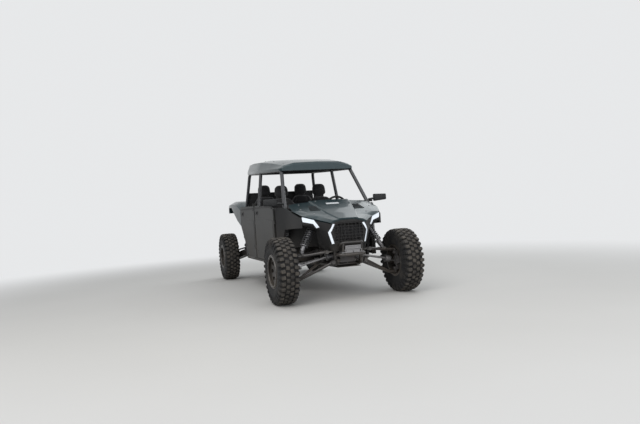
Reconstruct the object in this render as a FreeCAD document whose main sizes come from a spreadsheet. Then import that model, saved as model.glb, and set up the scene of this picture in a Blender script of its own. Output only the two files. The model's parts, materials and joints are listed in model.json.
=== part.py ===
import FreeCAD, Part
import math
import os
import Sketcher
from FreeCAD import Placement, Rotation, Vector

# Side by side utility vehicle with two rows of seats.
# Millimetres; X to the vehicle's left, Y to the rear, Z up, the ground at Z 0.
# Stations called "back" are distances behind the front axle.

doc = FreeCAD.newDocument("SideBySide")
sheet = doc.addObject("Spreadsheet::Sheet", "Sizes")

sizeTable = [
    ("WheelBase", 3505, "front axle to rear axle"),
    ("WheelOffset", 813, "middle of the vehicle to the middle of a tyre"),
    ("FrontReach", 350, "front axle to the front bumper's face"),
    ("RearReach", 420, "rear axle to the rear bumper's face"),
    ("TyreRadius", 406.5, "tread lugs' tips"),
    ("TyreHalfWidth", 127, "half of the tyre's width"),
    ("LugHeight", 17, "tread lugs above the carcass"),
    ("LugLength", 62, "tread lug along the tread"),
    ("LugCount", 19, "tread lugs around one row"),
    ("RimRadius", 190.5, "bead seat"),
    ("RimHalfWidth", 112, "half of the rim's width"),
    ("RimWall", 11, "rim barrel's thickness"),
    ("RimWindowCount", 8, "windows around the wheel's face"),
    ("RimWindowRadius", 25, "half width of one window"),
    ("HubRadius", 42, "wheel hub"),
    ("DiscRadius", 128, "brake disc"),
    ("KingpinOffset", 720, "middle of the vehicle to the steering axis"),
    ("BallSpread", 105, "ball joints above and below the axle"),
    ("SteerArm", 110, "steering axis to the tie rod's ball"),
    ("CageTube", 25, "radius of the cage's tubes"),
    ("FrameTube", 22, "radius of the frame's tubes"),
    ("ArmTube", 17, "radius of the suspension arms' tubes"),
    ("BellyHeight", 400, "skid plate above the ground"),
    ("BellyThick", 6, "skid plate"),
    ("SillSide", 640, "middle of the vehicle to the frame's outer tubes"),
    ("RearWallTop", 1480, "wall behind the rear seats above the ground"),
    ("RoofFrontHalf", 540, "half of the roof's width at the front"),
    ("RoofRearHalf", 606, "half of the roof's width over the middle pillars"),
    ("RoofFront", 1808, "top of the roof's front end above the ground"),
    ("RoofRear", 1966, "top of the roof's rear end above the ground"),
    ("CageFront", 1690, "cage's upper tubes above the ground at the front"),
    ("CageRear", 1790, "cage's upper tubes above the ground at the rear"),
    ("RoofEnd", 2630, "front axle to the roof's rear end"),
    ("RoofSkin", 26, "roof panel's thickness"),
    ("HoodSkin", 20, "hood panel's thickness"),
    ("FasciaSkin", 22, "front panel's thickness"),
    ("DoorThick", 46, "door's thickness"),
    ("DoorTop", 1240, "doors' upper edge above the ground"),
    ("DoorFace", 722, "middle of the vehicle to the door's outer face"),
    ("HingeSide", 708, "middle of the vehicle to a door's hinge pin"),
    ("HingeFront", 556, "front axle to the front doors' hinge pins"),
    ("HingeRear", 1676, "front axle to the rear doors' hinge pins"),
    ("HingePin", 5, "radius of a door's hinge pin"),
    ("SpindleRadius", 20, "wheel spindle"),
    ("BallStud", 8, "radius of the studs on the steering axis"),
    ("RackBar", 14, "radius of the steering rack's bar"),
    ("RunningGap", 0.3, "clearance around a turning or sliding pin"),
    ("SeatGap", 0.3, "clearance between pieces that rest on one another"),
    ("SeatFrontOffset", 300, "middle of the vehicle to a front seat's middle"),
    ("SeatRearOffset", 318, "middle of the vehicle to a rear seat's middle"),
    ("SeatFrontBack", 1560, "front axle to the front seats' back"),
    ("SeatRearBack", 2560, "front axle to the rear seats' back"),
    ("SeatFrontBase", 620, "front seats' underside above the ground"),
    ("SeatRearBase", 680, "rear seats' underside above the ground"),
    ("SeatFrontTop", 1530, "front headrests' tops above the ground"),
    ("SeatRearTop", 1600, "rear headrests' tops above the ground"),
    ("SteeringWheelRadius", 175, "steering wheel's rim"),
    ("SteeringWheelGrip", 15, "steering wheel's grip"),
    ("ShockSpring", 52, "coil spring's outer radius"),
    ("ShockTurns", 9, "turns of a coil spring"),
    ("ShockTop", 1000, "front shocks' upper eyes above the ground"),
    ("RearShockTop", 940, "rear shocks' upper eyes above the ground"),
    ("LowerPivotHeight", 470, "front lower arms' inner pivots above the ground"),
    ("UpperPivotHeight", 600, "front upper arms' inner pivots above the ground"),
    ("BedHalfWidth", 470, "half of the cargo bed's inner width"),
    ("BedFloor", 1010, "cargo bed's floor above the ground"),
    ("BedWall", 14, "cargo bed's wall"),
    ("BedDepth", 230, "cargo bed's walls above its floor"),
    ("WingTop", 1368, "rear wings' highest line above the ground"),
]
for row, (name, value, note) in enumerate(sizeTable, start=1):
    sheet.set("A%d" % row, name)
    sheet.set("B%d" % row, str(value))
    sheet.set("C%d" % row, note)
    sheet.setAlias("B%d" % row, name)
doc.recompute()


def size(name):
    return float(sheet.get(name))


treadReach = math.hypot(size("TyreRadius"), size("LugLength") / 2)
foremost = max(size("FrontReach"), treadReach)
rearmost = max(size("RearReach"), treadReach)
frontAxle = -(size("WheelBase") + rearmost - foremost) / 2
rearAxle = frontAxle + size("WheelBase")
axleHeight = size("TyreRadius")


def at(side, back, height):
    return Vector(side, frontAxle + back, height)


# Helpers for drawing

def closedWire(points):
    corners = [Vector(p) for p in points]
    return Part.makePolygon(corners + [corners[0]])


def block(low, high):
    shape = Part.makeBox(high[0] - low[0], high[1] - low[1], high[2] - low[2])
    shape.translate(at(*low))
    return shape


def prism(points, push):
    return Part.Face(closedWire(points)).extrude(Vector(push))


def ruledLoft(sections):
    return Part.makeLoft([closedWire(points) for points in sections], True, True)


def rod(start, end, radius):
    way = end - start
    return Part.makeCylinder(radius, way.Length, start, way)


def pipe(start, end, radius, hole):
    return rod(start, end, radius).cut(rod(start, end, hole))


def bentTube(points, radius, bend):
    points = [Vector(p) for p in points]
    if len(points) == 2:
        return rod(points[0], points[1], radius)
    edges = []
    last = points[0]
    for before, corner, after in zip(points, points[1:], points[2:]):
        back = (before - corner).normalize()
        ahead = (after - corner).normalize()
        angle = back.getAngle(ahead)
        if angle > math.pi - 0.02:
            continue
        run = bend / math.tan(angle / 2)
        middle = (back + ahead).normalize()
        reach = bend / math.sin(angle / 2) - bend
        first = corner + back * run
        second = corner + ahead * run
        edges.append(Part.LineSegment(last, first).toShape())
        edges.append(Part.Arc(first, corner + middle * reach, second).toShape())
        last = second
    edges.append(Part.LineSegment(last, points[-1]).toShape())
    path = Part.Wire(edges)
    circle = Part.makeCircle(radius, points[0], points[1] - points[0])
    return path.makePipeShell([Part.Wire([circle])], True, False)


def joined(shapes):
    if len(shapes) == 1:
        return shapes[0]
    return shapes[0].fuse(shapes[1:]).removeSplitter()


def mirrored(shape):
    return shape.mirror(Vector(0, 0, 0), Vector(1, 0, 0))


def both(shape):
    return [shape, mirrored(shape)]


nodes = {}


def feature(name, shape):
    item = doc.addObject("Part::Feature", name)
    item.Label = name
    item.Shape = shape
    nodes[name] = item
    return item


def planeOf(body, role):
    return [f for f in body.Origin.OriginFeatures if f.Role == role][0]


def newBody(name):
    body = doc.addObject("PartDesign::Body", name)
    body.Label = name
    nodes[name] = body
    return body


def outlineSketch(body, name, role, outlines, offset=0.0):
    sketch = body.newObject("Sketcher::SketchObject", name)
    sketch.AttachmentSupport = [(planeOf(body, role), "")]
    sketch.MapMode = "FlatFace"
    sketch.AttachmentOffset = Placement(Vector(0, 0, offset), Rotation())
    for outline in outlines:
        first = sketch.GeometryCount
        count = len(outline)
        for index, (x, y) in enumerate(outline):
            nextX, nextY = outline[(index + 1) % count]
            line = Part.LineSegment(Vector(x, y, 0), Vector(nextX, nextY, 0))
            sketch.addGeometry(line, False)
        for index in range(count):
            follower = first + (index + 1) % count
            sketch.addConstraint(Sketcher.Constraint("Coincident", first + index, 2, follower, 1))
    return sketch


def circleSketch(body, name, role, circles, offset=0.0):
    sketch = body.newObject("Sketcher::SketchObject", name)
    sketch.AttachmentSupport = [(planeOf(body, role), "")]
    sketch.MapMode = "FlatFace"
    sketch.AttachmentOffset = Placement(Vector(0, 0, offset), Rotation())
    for x, y, radius in circles:
        sketch.addGeometry(Part.Circle(Vector(x, y, 0), Vector(0, 0, 1), radius), False)
    return sketch


def crossLoft(name, stations):
    # cross sections (side, height) at stations behind the front axle
    body = newBody(name)
    sketches = []
    for index, (back, outline) in enumerate(stations):
        label = "%s_section_%d" % (name, index)
        sketches.append(outlineSketch(body, label, "XZ_Plane", [outline], -(frontAxle + back)))
    loft = body.newObject("PartDesign::AdditiveLoft", name + "_loft")
    loft.Profile = sketches[0]
    loft.Sections = sketches[1:]
    loft.Ruled = True
    return body


def shellSection(half, skin):
    # closed outline of a bent sheet whose outer half profile runs from the middle outwards
    outer = [(-x, z) for x, z in reversed(half)] + list(half[1:])
    inner = [(x * (1 - skin / max(abs(half[-1][0]), 1)), z - skin) for x, z in reversed(outer)]
    return outer + inner


# Wheels

tyreSide = size("TyreHalfWidth")
carcass = size("TyreRadius") - size("LugHeight")
rimSeat = size("RimRadius")
lugTip = size("TyreRadius")
lugPitch = 360.0 / size("LugCount")
beadSeat = (rimSeat + 4) / math.cos(math.pi / size("LugCount"))
carcassOutline = [
    (-tyreSide + 30, beadSeat),
    (-tyreSide + 5, rimSeat + 78),
    (-tyreSide + 32, carcass),
    (tyreSide - 32, carcass),
    (tyreSide - 5, rimSeat + 78),
    (tyreSide - 30, beadSeat),
]
innerOutline = [
    (tyreSide - 46, beadSeat),
    (tyreSide - 50, carcass - 30),
    (-tyreSide + 50, carcass - 30),
    (-tyreSide + 46, beadSeat),
]
segments = int(size("LugCount"))


def facetRing(outline, count):
    # a ring of flat facets turned about X, closed in itself
    rings = []
    for index in range(count):
        turn = 2 * math.pi * index / count
        rings.append([Vector(x, r * math.sin(turn), r * math.cos(turn)) for x, r in outline])
    faces = []
    for index, ring in enumerate(rings):
        follower = rings[(index + 1) % count]
        for step in range(len(ring)):
            after = (step + 1) % len(ring)
            faces.append(Part.Face(closedWire([ring[step], ring[after], follower[after], follower[step]])))
    shell = Part.Shell(faces)
    solid = Part.Solid(shell)
    return solid if solid.Volume > 0 else solid.reversed()


tyreShape = facetRing(carcassOutline + innerOutline, segments)
lugHalf = size("LugLength") / 2
sideLug = [
    (9, carcass - 8),
    (9, lugTip),
    (tyreSide - 20, lugTip),
    (tyreSide, lugTip - 52),
    (tyreSide - 14, lugTip - 66),
    (tyreSide - 46, carcass - 14),
]
lugs = []
for number in range(int(size("LugCount"))):
    for hand, phase in ((1, 0.0), (-1, 0.5)):
        lift = prism([(hand * x, -lugHalf, r) for x, r in sideLug], (0, 2 * lugHalf, 0))
        lift.rotate(Vector(0, 0, 0), Vector(1, 0, 0), (number + phase) * lugPitch)
        lugs.append(lift)
tyreShape = tyreShape.fuse(lugs)
tyreMirror = mirrored(tyreShape)

rimSide = size("RimHalfWidth")
rimWall = size("RimWall")
barrel = [
    (-rimSide, rimSeat + 4),
    (-rimSide, rimSeat + 16),
    (-rimSide + 8, rimSeat + 16),
    (-rimSide + 14, rimSeat + 4),
    (rimSide - 14, rimSeat + 4),
    (rimSide - 8, rimSeat + 16),
    (rimSide, rimSeat + 16),
    (rimSide, rimSeat - rimWall),
    (-rimSide, rimSeat - rimWall),
]
faceOutline = [
    (28, 30),
    (28, 62),
    (44, 84),
    (78, rimSeat - rimWall),
    (92, rimSeat - rimWall),
    (60, 76),
    (48, 52),
    (52, 30),
]


def wheelRim(name, hand):
    body = newBody(name)
    barrelSketch = outlineSketch(body, name + "_barrel", "XY_Plane", [[(hand * x, r) for x, r in barrel]])
    spin = body.newObject("PartDesign::Revolution", name + "_spin")
    spin.Profile = barrelSketch
    spin.ReferenceAxis = (barrelSketch, ["H_Axis"])
    spin.Angle = 360
    disc = [(hand * x, r) for x, r in faceOutline[:3]]
    disc += [(hand * faceOutline[3][0], rimSeat - rimWall + 3), (hand * faceOutline[4][0], rimSeat - rimWall + 3)]
    disc += [(hand * x, r) for x, r in faceOutline[5:]]
    faceSketch = outlineSketch(body, name + "_face", "XY_Plane", [disc])
    face = body.newObject("PartDesign::Revolution", name + "_disc")
    face.Profile = faceSketch
    face.ReferenceAxis = (faceSketch, ["H_Axis"])
    face.Angle = 360
    hub = size("HubRadius")
    bore = size("SpindleRadius") + size("RunningGap")
    hubOutline = [(-45, bore), (-45, hub), (20, hub), (20, hub + 26), (30, hub + 26), (52, hub - 6), (62, hub - 8),
                  (62, 0), (34, 0), (34, bore)]
    hubSketch = outlineSketch(body, name + "_hub", "XY_Plane", [[(hand * x, r) for x, r in hubOutline]])
    hubTurn = body.newObject("PartDesign::Revolution", name + "_hub_spin")
    hubTurn.Profile = hubSketch
    hubTurn.ReferenceAxis = (hubSketch, ["H_Axis"])
    hubTurn.Angle = 360
    discOutline = [(-34, hub - 4), (-34, size("DiscRadius")), (-26, size("DiscRadius")), (-26, hub - 4)]
    discSketch = outlineSketch(body, name + "_brake", "XY_Plane", [[(hand * x, r) for x, r in discOutline]])
    discTurn = body.newObject("PartDesign::Revolution", name + "_brake_spin")
    discTurn.Profile = discSketch
    discTurn.ReferenceAxis = (discSketch, ["H_Axis"])
    discTurn.Angle = 360
    doc.recompute()
    window = circleSketch(body, name + "_window", "YZ_Plane", [(0, 128, size("RimWindowRadius"))])
    opening = body.newObject("PartDesign::Pocket", name + "_opening")
    opening.Profile = window
    opening.Type = 1
    opening.Length = 100
    opening.Reversed = hand > 0
    opening.setExpression("Length", "Sizes.RimHalfWidth")
    doc.recompute()
    ring = body.newObject("PartDesign::PolarPattern", name + "_openings")
    ring.Originals = [opening]
    ring.Axis = (hubSketch, ["H_Axis"])
    ring.Angle = 360
    ring.Occurrences = int(size("RimWindowCount"))
    ring.setExpression("Occurrences", "Sizes.RimWindowCount")
    body.Tip = ring
    return body


wheelTable = [
    # name, side, axle
    ("front_left", 1, frontAxle),
    ("front_right", -1, frontAxle),
    ("rear_left", 1, rearAxle),
    ("rear_right", -1, rearAxle),
]
for name, side, axle in wheelTable:
    rim = wheelRim("rim_" + name, side)
    rim.Placement = Placement(Vector(side * size("WheelOffset"), axle, axleHeight), Rotation())
    tyre = feature("tyre_" + name, tyreShape if side > 0 else tyreMirror)
    tyre.Placement = Placement(Vector(side * size("WheelOffset"), axle, axleHeight), Rotation())

# Front knuckles and steering

kingpin = size("KingpinOffset")
spread = size("BallSpread")
bearingIn = size("WheelOffset") - 82
bearingOut = size("WheelOffset") - 50
spindleEnd = size("WheelOffset") + 30
stud = size("BallStud")
studEnd = spread + 54
knuckle = joined([
    rod(at(bearingOut - 20, 0, axleHeight), at(spindleEnd, 0, axleHeight), size("SpindleRadius")),
    rod(at(kingpin, 0, axleHeight + spread), at(kingpin, 0, axleHeight + studEnd), stud),
    rod(at(kingpin, 0, axleHeight - spread), at(kingpin, 0, axleHeight - studEnd), stud),
    rod(at(bearingIn, 0, axleHeight), at(bearingOut, 0, axleHeight), 62),
    block((kingpin + 16, -24, axleHeight - spread - 18), (bearingOut - 10, 24, axleHeight + spread + 18)),
    block((kingpin - 20, -20, axleHeight + spread - 18), (kingpin + 24, 20, axleHeight + spread + 18)),
    block((kingpin - 20, -20, axleHeight - spread - 18), (kingpin + 24, 20, axleHeight - spread + 18)),
    block((kingpin - 14, 10, axleHeight - 14), (bearingIn + 8, size("SteerArm") + 16, axleHeight + 6)),
    block((bearingIn - 4, -118, axleHeight - 34), (bearingIn + 16, -60, axleHeight + 34)),
    block((bearingIn - 4, -70, axleHeight - 20), (bearingIn + 10, 0, axleHeight + 20)),
])
feature("knuckle_left", knuckle)
feature("knuckle_right", mirrored(knuckle))

rackHeight = axleHeight + 30
rackBack = size("SteerArm")
rackBar = size("RackBar")
rackLine = rackHeight + 60
rackParts = [rod(at(-330, rackBack, rackLine), at(330, rackBack, rackLine), rackBar)]
for hand in (1, -1):
    inner = at(hand * 318, rackBack, rackLine)
    outer = at(hand * (kingpin - 6), rackBack, axleHeight + 26)
    way = (outer - inner).normalize()
    rackParts.append(rod(at(hand * 296, rackBack, rackLine), at(hand * 338, rackBack, rackLine), rackBar + 8))
    rackParts.append(rod(inner, outer + way * 4, 9))
    rackParts.append(rod(outer - Vector(0, 0, 13), outer + Vector(0, 0, 13), 16))
feature("rack_and_tie_rods", joined(rackParts))

# Door hinges

hingeSide = size("HingeSide")
hingePin = size("HingePin")
hingeFront = size("HingeFront")
hingeRear = size("HingeRear")
hingeHeights = (620, 980)


def hingeBrackets(back, innerSide):
    pieces = []
    for height in hingeHeights:
        low = height - size("RunningGap") - 8
        pieces.append(block((innerSide, back - 12, low), (hingeSide + 9, back + 10, low + 8)))
        pieces.append(rod(at(hingeSide, back, low), at(hingeSide, back, height + 28), hingePin))
    return pieces


# Frame in three welded sections

frameTube = size("FrameTube")
crossTube = frameTube * 0.8
seatGap = size("SeatGap")
railHeight = size("BellyHeight") + size("BellyThick") + seatGap + frameTube
sill = size("SillSide")
lowerPivot = size("LowerPivotHeight")
upperPivot = size("UpperPivotHeight")
shockTop = size("ShockTop")
rearShockTop = size("RearShockTop")
bedHalf = size("BedHalfWidth")
bedWall = size("BedWall")
bedFloor = size("BedFloor")
bedUnder = bedFloor - bedWall
deckRail = bedUnder - seatGap - frameTube
deckSide = bedHalf + bedWall + frameTube + 6
rearAxleBack = size("WheelBase")


def earPair(side, reach, back, height, halfEye):
    # two plates that hold an eye whose axis runs fore and aft
    sides = sorted((side, side + reach))
    low = back - halfEye - seatGap
    high = back + halfEye + seatGap
    return [block((sides[0], low - 7, height - 16), (sides[1], low, height + 16)),
            block((sides[0], high, height - 16), (sides[1], high + 7, height + 16))]


floorTubes = []
for hand in (1, -1):
    floorTubes.append(bentTube([
        at(hand * 150, -240, railHeight + 60),
        at(hand * 165, -120, railHeight),
        at(hand * 190, 330, railHeight),
        at(hand * 330, 640, railHeight),
        at(hand * 330, 2640, railHeight),
        at(hand * 210, 3060, railHeight),
        at(hand * 210, 3640, railHeight),
    ], frameTube, 90))
    floorTubes.append(bentTube([
        at(hand * 300, 580, railHeight),
        at(hand * sill, 640, railHeight),
        at(hand * sill, 2680, railHeight),
        at(hand * 322, 2770, railHeight),
    ], frameTube, 60))
for back, half in ((-100, 166), (300, 188), (820, sill), (1250, sill), (1670, sill), (2200, sill), (2600, sill),
                   (3120, 210), (3600, 210)):
    floorTubes.append(rod(at(-half, back, railHeight), at(half, back, railHeight), crossTube))
floorFrame = joined(floorTubes)
feature("frame_floor", floorFrame)

frontTubes = []
pivotReach = 205
for hand in (1, -1):
    frontTubes.append(bentTube([
        at(hand * 165, -160, railHeight),
        at(hand * 175, -190, 700),
        at(hand * 250, 60, 980),
        at(hand * 470, 480, 1040),
    ], frameTube, 60))
    frontTubes.append(rod(at(hand * 190, 250, railHeight), at(hand * 268, 104, 985), frameTube))
    frontTubes.append(rod(at(hand * 262, -pivotReach, upperPivot), at(hand * 262, pivotReach, upperPivot), 14))
    frontTubes.append(rod(at(hand * 172, -182, upperPivot - 1), at(hand * 256, -182, upperPivot - 1), 11))
    frontTubes.append(rod(at(hand * 204, 190, upperPivot - 1), at(hand * 256, 190, upperPivot - 1), 11))
    frontTubes += earPair(hand * 256, hand * 80, 80, shockTop, 22)
for back, half, height in ((-190, 176, 715), (60, 250, 978)):
    frontTubes.append(rod(at(-half, back, height), at(half, back, height), crossTube))
frontFrame = joined(frontTubes).cut(floorFrame)
feature("frame_front", max(frontFrame.Solids, key=lambda s: s.Volume))

rearTubes = []
deckEnd = rearAxleBack + 95
for hand in (1, -1):
    rearTubes.append(bentTube([
        at(hand * 210, deckEnd - 10, railHeight),
        at(hand * 230, deckEnd, 880),
        at(hand * deckSide, deckEnd - 60, deckRail),
        at(hand * deckSide, 3000, deckRail),
        at(hand * 618, 2700, deckRail),
    ], frameTube, 60))
    rearTubes.append(rod(at(hand * 215, 3040, railHeight), at(hand * deckSide, 2975, deckRail), frameTube))
    rearTubes += earPair(hand * (deckSide - 12), hand * (430 - deckSide + 12 - 20), 3070, rearShockTop, 22)
    for near, far in ((549, 556 - seatGap), (612 + seatGap, 619)):
        sides = sorted((hand * near, hand * far))
        rearTubes.append(block((sides[0], 2690, railHeight + 8), (sides[1], 2866, 506)))
for back, half, height in ((2960, deckSide, deckRail), (deckEnd - 110, deckSide, deckRail)):
    rearTubes.append(rod(at(-half, back, height), at(half, back, height), crossTube))
rearTubes.append(block((-206, deckEnd + 6, 445), (206, deckEnd + 20 - seatGap, 630)))
rearFrame = joined(rearTubes).cut(floorFrame)
feature("frame_rear", max(rearFrame.Solids, key=lambda s: s.Volume))
frame = Part.makeCompound([nodes[name].Shape for name in ("frame_floor", "frame_front", "frame_rear")])

# Roof line, cage and floor

roofStart = 850
roofEnd = size("RoofEnd")


def roofCrown(back):
    share = min(max((back - roofStart) / (roofEnd - roofStart), 0), 1)
    return size("RoofFront") + (size("RoofRear") - size("RoofFront")) * (1 - (1 - share) ** 2)


def cageLine(back):
    share = (back - 815) / (roofEnd - 40 - 815)
    return size("CageFront") + (size("CageRear") - size("CageFront")) * share


cageTube = size("CageTube")
pillarHeel = (612, 2700, 1240)
cagePath = [
    (625, 655, railHeight + 20),
    (600, 420, 1130),
    (size("RoofFrontHalf") - 38, 815, cageLine(815)),
    (size("RoofRearHalf") - 36, 1700, cageLine(1700)),
    (size("RoofRearHalf") - 58, roofEnd - 40, cageLine(roofEnd - 40)),
    pillarHeel,
    (640, 2660, railHeight + 20),
]
cageSides = []
for hand in (1, -1):
    roofCorner = cagePath[3]
    tubes = [
        bentTube([at(hand * x, back, height) for x, back, height in cagePath], cageTube, 90),
        bentTube([
            at(hand * roofCorner[0], roofCorner[1] + 20, roofCorner[2]),
            at(hand * 640, 1690, 1200),
            at(hand * 640, 1690, railHeight + 20),
        ], cageTube, 90),
        rod(at(hand * 610, 2698, 1232), at(hand * deckSide, rearAxleBack - 105, deckRail), cageTube * 0.8),
    ]
    for piece in hingeBrackets(hingeRear, 642):
        tubes.append(piece if hand > 0 else mirrored(piece))
    side = joined(tubes).cut(frame)
    cageSides.append(max(side.Solids, key=lambda s: s.Volume))
feature("cage_sides", Part.makeCompound(cageSides))
crossBars = []
for back, half, height in ((828, 500, cageLine(815)), (1722, 570, cageLine(1722)), (roofEnd - 40, 546, cageLine(roofEnd - 40)),
                           (432, 598, 1105), (2740, 604, 1330)):
    bar = rod(at(-half, back, height), at(half, back, height), cageTube * 0.9)
    for side in cageSides:
        bar = bar.cut(side)
    crossBars.append(max(bar.Solids, key=lambda s: s.Volume))
feature("cage_crossbars", Part.makeCompound(crossBars))
cage = Part.makeCompound(cageSides + crossBars)

skid = newBody("skid_plate")
skidHalf = [(150, -200), (175, 330), (330, 640), (600, 700), (600, 2680), (330, 2790), (230, 3060), (230, 3600)]
skidOutline = [(x, frontAxle + b) for x, b in skidHalf] + [(-x, frontAxle + b) for x, b in reversed(skidHalf)]
skidSketch = outlineSketch(skid, "skid_outline", "XY_Plane", [skidOutline])
skidPad = skid.newObject("PartDesign::Pad", "skid_pad")
skidPad.Profile = skidSketch
skidPad.Length = size("BellyThick")
skidPad.setExpression("Length", "Sizes.BellyThick")
skid.Placement = Placement(Vector(0, 0, size("BellyHeight")), Rotation())
skid.setExpression("Placement.Base.z", "Sizes.BellyHeight")

floorTop = railHeight + frameTube + 12
seatWall = size("RearWallTop")
tubParts = [
    block((-600, 660, floorTop - 8), (600, 2720, floorTop)),
    block((-560, 560, floorTop - 8), (560, 670, floorTop + 330)),
    block((-52, 660, floorTop), (52, 2700, floorTop + 150)),
    ruledLoft([
        [at(x, back, floorTop) for x, back in ((-590, 2700), (590, 2700), (590, 2720), (-590, 2720))],
        [at(x, back, 1300) for x, back in ((-575, 2700), (575, 2700), (575, 2720), (-575, 2720))],
        [at(x, back, seatWall) for x, back in ((-560, 2690), (560, 2690), (560, 2710), (-560, 2710))],
    ]),
    block((-600, 1640, floorTop), (-52, 1660, floorTop + 300)),
    block((52, 1640, floorTop), (600, 1660, floorTop + 300)),
]
for hand in (1, -1):
    cheek = [(2230, floorTop), (2720, floorTop), (2720, 960), (2640, 940), (2230, 560)]
    tubParts.append(prism([at(hand * 586, back, z) for back, z in cheek], (hand * 12, 0, 0)))
tub = joined(tubParts).cut(cage).cut(frame)
tub = tub.cut(block((-540, 580, floorTop), (540, 671, floorTop + 320)))
feature("floor_tub", joined([s for s in tub.Solids if s.Volume > 1e6]))

# Nose and upper bodywork

hoodStations = [
    # back, half profile from the middle to the edge (side, height)
    (-262, [(0, 1002), (120, 1000), (134, 988), (190, 980), (238, 952)]),
    (-110, [(0, 1057), (165, 1054), (180, 1040), (300, 1030), (388, 1008)]),
    (-30, [(0, 1087), (190, 1084), (206, 1068), (400, 1064), (528, 1056)]),
    (150, [(0, 1162), (225, 1158), (242, 1142), (470, 1132), (584, 1118)]),
    (400, [(0, 1250), (270, 1245), (288, 1228), (480, 1215), (560, 1198)]),
]
hoodSkin = size("HoodSkin")
hood = crossLoft("hood", [(back, shellSection(half, hoodSkin)) for back, half in hoodStations])


def hoodUnderside(half):
    # under the hood's own lower face by the seat gap
    edge = half[-1][0]
    return [(x * (1 - hoodSkin / edge), z - hoodSkin - seatGap) for x, z in half]


hoodAbove = ruledLoft([
    [at(-900, back, under[-1][1])] + [at(-x, back, z) for x, z in reversed(under)]
    + [at(x, back, z) for x, z in under[1:]] + [at(900, back, under[-1][1]), at(900, back, 1600), at(-900, back, 1600)]
    for back, under in [(back, hoodUnderside(half)) for back, half in hoodStations]
])

fasciaSkin = size("FasciaSkin")
fasciaStations = [
    # height, half outline from the middle to the side (side, back)
    (600, [(0, -236), (150, -236), (196, -216), (232, -150), (252, -60)]),
    (700, [(0, -256), (190, -252), (238, -214), (288, -120), (326, -30)]),
    (860, [(0, -256), (228, -254), (268, -214), (338, -120), (352, -30)]),
    (940, [(0, -256), (228, -254), (268, -210), (384, -104), (520, -30)]),
    (1100, [(0, -256), (228, -254), (268, -210), (384, -104), (520, -30)]),
]


def bandSection(height, half, skin):
    outer = [(-x, y) for x, y in reversed(half)] + list(half[1:])
    inner = [(x * 0.93, y + skin) for x, y in reversed(outer)]
    return [at(x, y, height) for x, y in outer + inner]


fascia = ruledLoft([bandSection(height, half, fasciaSkin) for height, half in fasciaStations]).cut(hoodAbove)
grilleHalf = [(140, 952), (184, 938), (226, 836), (196, 706), (120, 690)]
grilleOutline = [(x, z) for x, z in grilleHalf] + [(-x, z) for x, z in reversed(grilleHalf)]
grilleCut = prism([at(x, -300, z) for x, z in grilleOutline], (0, 120, 0))
chevron = [(182, 932), (206, 936), (260, 836), (221, 694), (197, 697), (234, 836)]
chevronCut = prism([at(x, -290, z) for x, z in chevron], (0, 120, 0))
headlight = [(338, 904), (366, 894), (402, 950), (514, 980), (530, 1060), (420, 1060), (384, 984)]
headlightCut = prism([at(x, -300, z) for x, z in headlight], (0, 290, 0))
lampCuts = both(chevronCut) + both(headlightCut)
lampShapes = []
for shape in lampCuts:
    lampShapes += fascia.common(shape).Solids
for shape in [grilleCut] + lampCuts:
    fascia = fascia.cut(shape)
feature("front_fascia", joined([s for s in fascia.Solids if s.Volume > 2e4]))
feature("front_lamps", Part.makeCompound([s for s in lampShapes if s.Volume > 500]))

grilleFace = prism([at(x, -244, z) for x, z in grilleOutline], (0, 10, 0))
grilleInner = [(x * 0.9, 822 + (z - 822) * 0.88) for x, z in grilleOutline]
grilleParts = [grilleFace.cut(prism([at(x, -250, z) for x, z in grilleInner], (0, 20, 0)))]
for step in range(7):
    height = 718 + 36 * step
    grilleParts.append(block((-230, -244, height), (230, -234, height + 9)).common(grilleFace))
for step in range(9):
    middle = -192 + 48 * step
    grilleParts.append(block((middle - 4, -244, 680), (middle + 4, -234, 960)).common(grilleFace))
feature("grille", joined(grilleParts))
radiator = block((-200, -150, 640), (200, -108, 900))
feature("radiator", radiator.cut(frame))

fenderParts = [
    ruledLoft([
        [at(520, -26, 905), at(542, -26, 905), at(542, -26, 1030), at(520, -26, 1028)],
        [at(560, 150, 900), at(582, 150, 900), at(582, 150, 1092), at(560, 150, 1090)],
        [at(600, 400, 890), at(622, 400, 890), at(622, 400, 1176), at(600, 400, 1174)],
    ]),
    ruledLoft([
        [at(600, 400, 890), at(622, 400, 890), at(622, 400, 1176), at(600, 400, 1174)],
        [at(640, 520, 470), at(700, 520, 470), at(700, 520, 1176), at(640, 520, 1174)],
    ]),
    block((640, 520, 470), (700, 540, 1176)),
]
hinges = hingeBrackets(hingeFront, 650)
for bracket, pin in zip(hinges[0::2], hinges[1::2]):
    fenderParts += [bracket.fuse(bracket.translated(Vector(0, -20, 0))), pin]
fender = joined(fenderParts).cut(cage).cut(frame)
fender = max(fender.Solids, key=lambda s: s.Volume)
splashLine = [(236, -60), (246, 210), (540, 500)]
splashOutline = splashLine + [(x + 6, back + 3) for x, back in reversed(splashLine)]
splash = prism([at(x, back, upperPivot + 50) for x, back in splashOutline], (0, 0, 300))
splash = splash.cut(frame).cut(fender).cut(cage)
splash = max(splash.Solids, key=lambda s: s.Volume)
feature("front_fenders", Part.makeCompound(both(fender) + both(splash)))

roofSkin = size("RoofSkin")
roofStations = [
    # back, part of the half width, crown below the roof line, crease below the crown
    (758, 0.95, 40, 26),
    (785, 0.98, 12, 40),
    (roofStart, 1.0, 0, 44),
    (1250, 1.0, 0, 40),
    (1750, 1.0, 0, 34),
    (2250, 1.0, 0, 30),
    (roofEnd - 40, 1.0, 4, 28),
    (roofEnd, 0.98, 22, 24),
]


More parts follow.
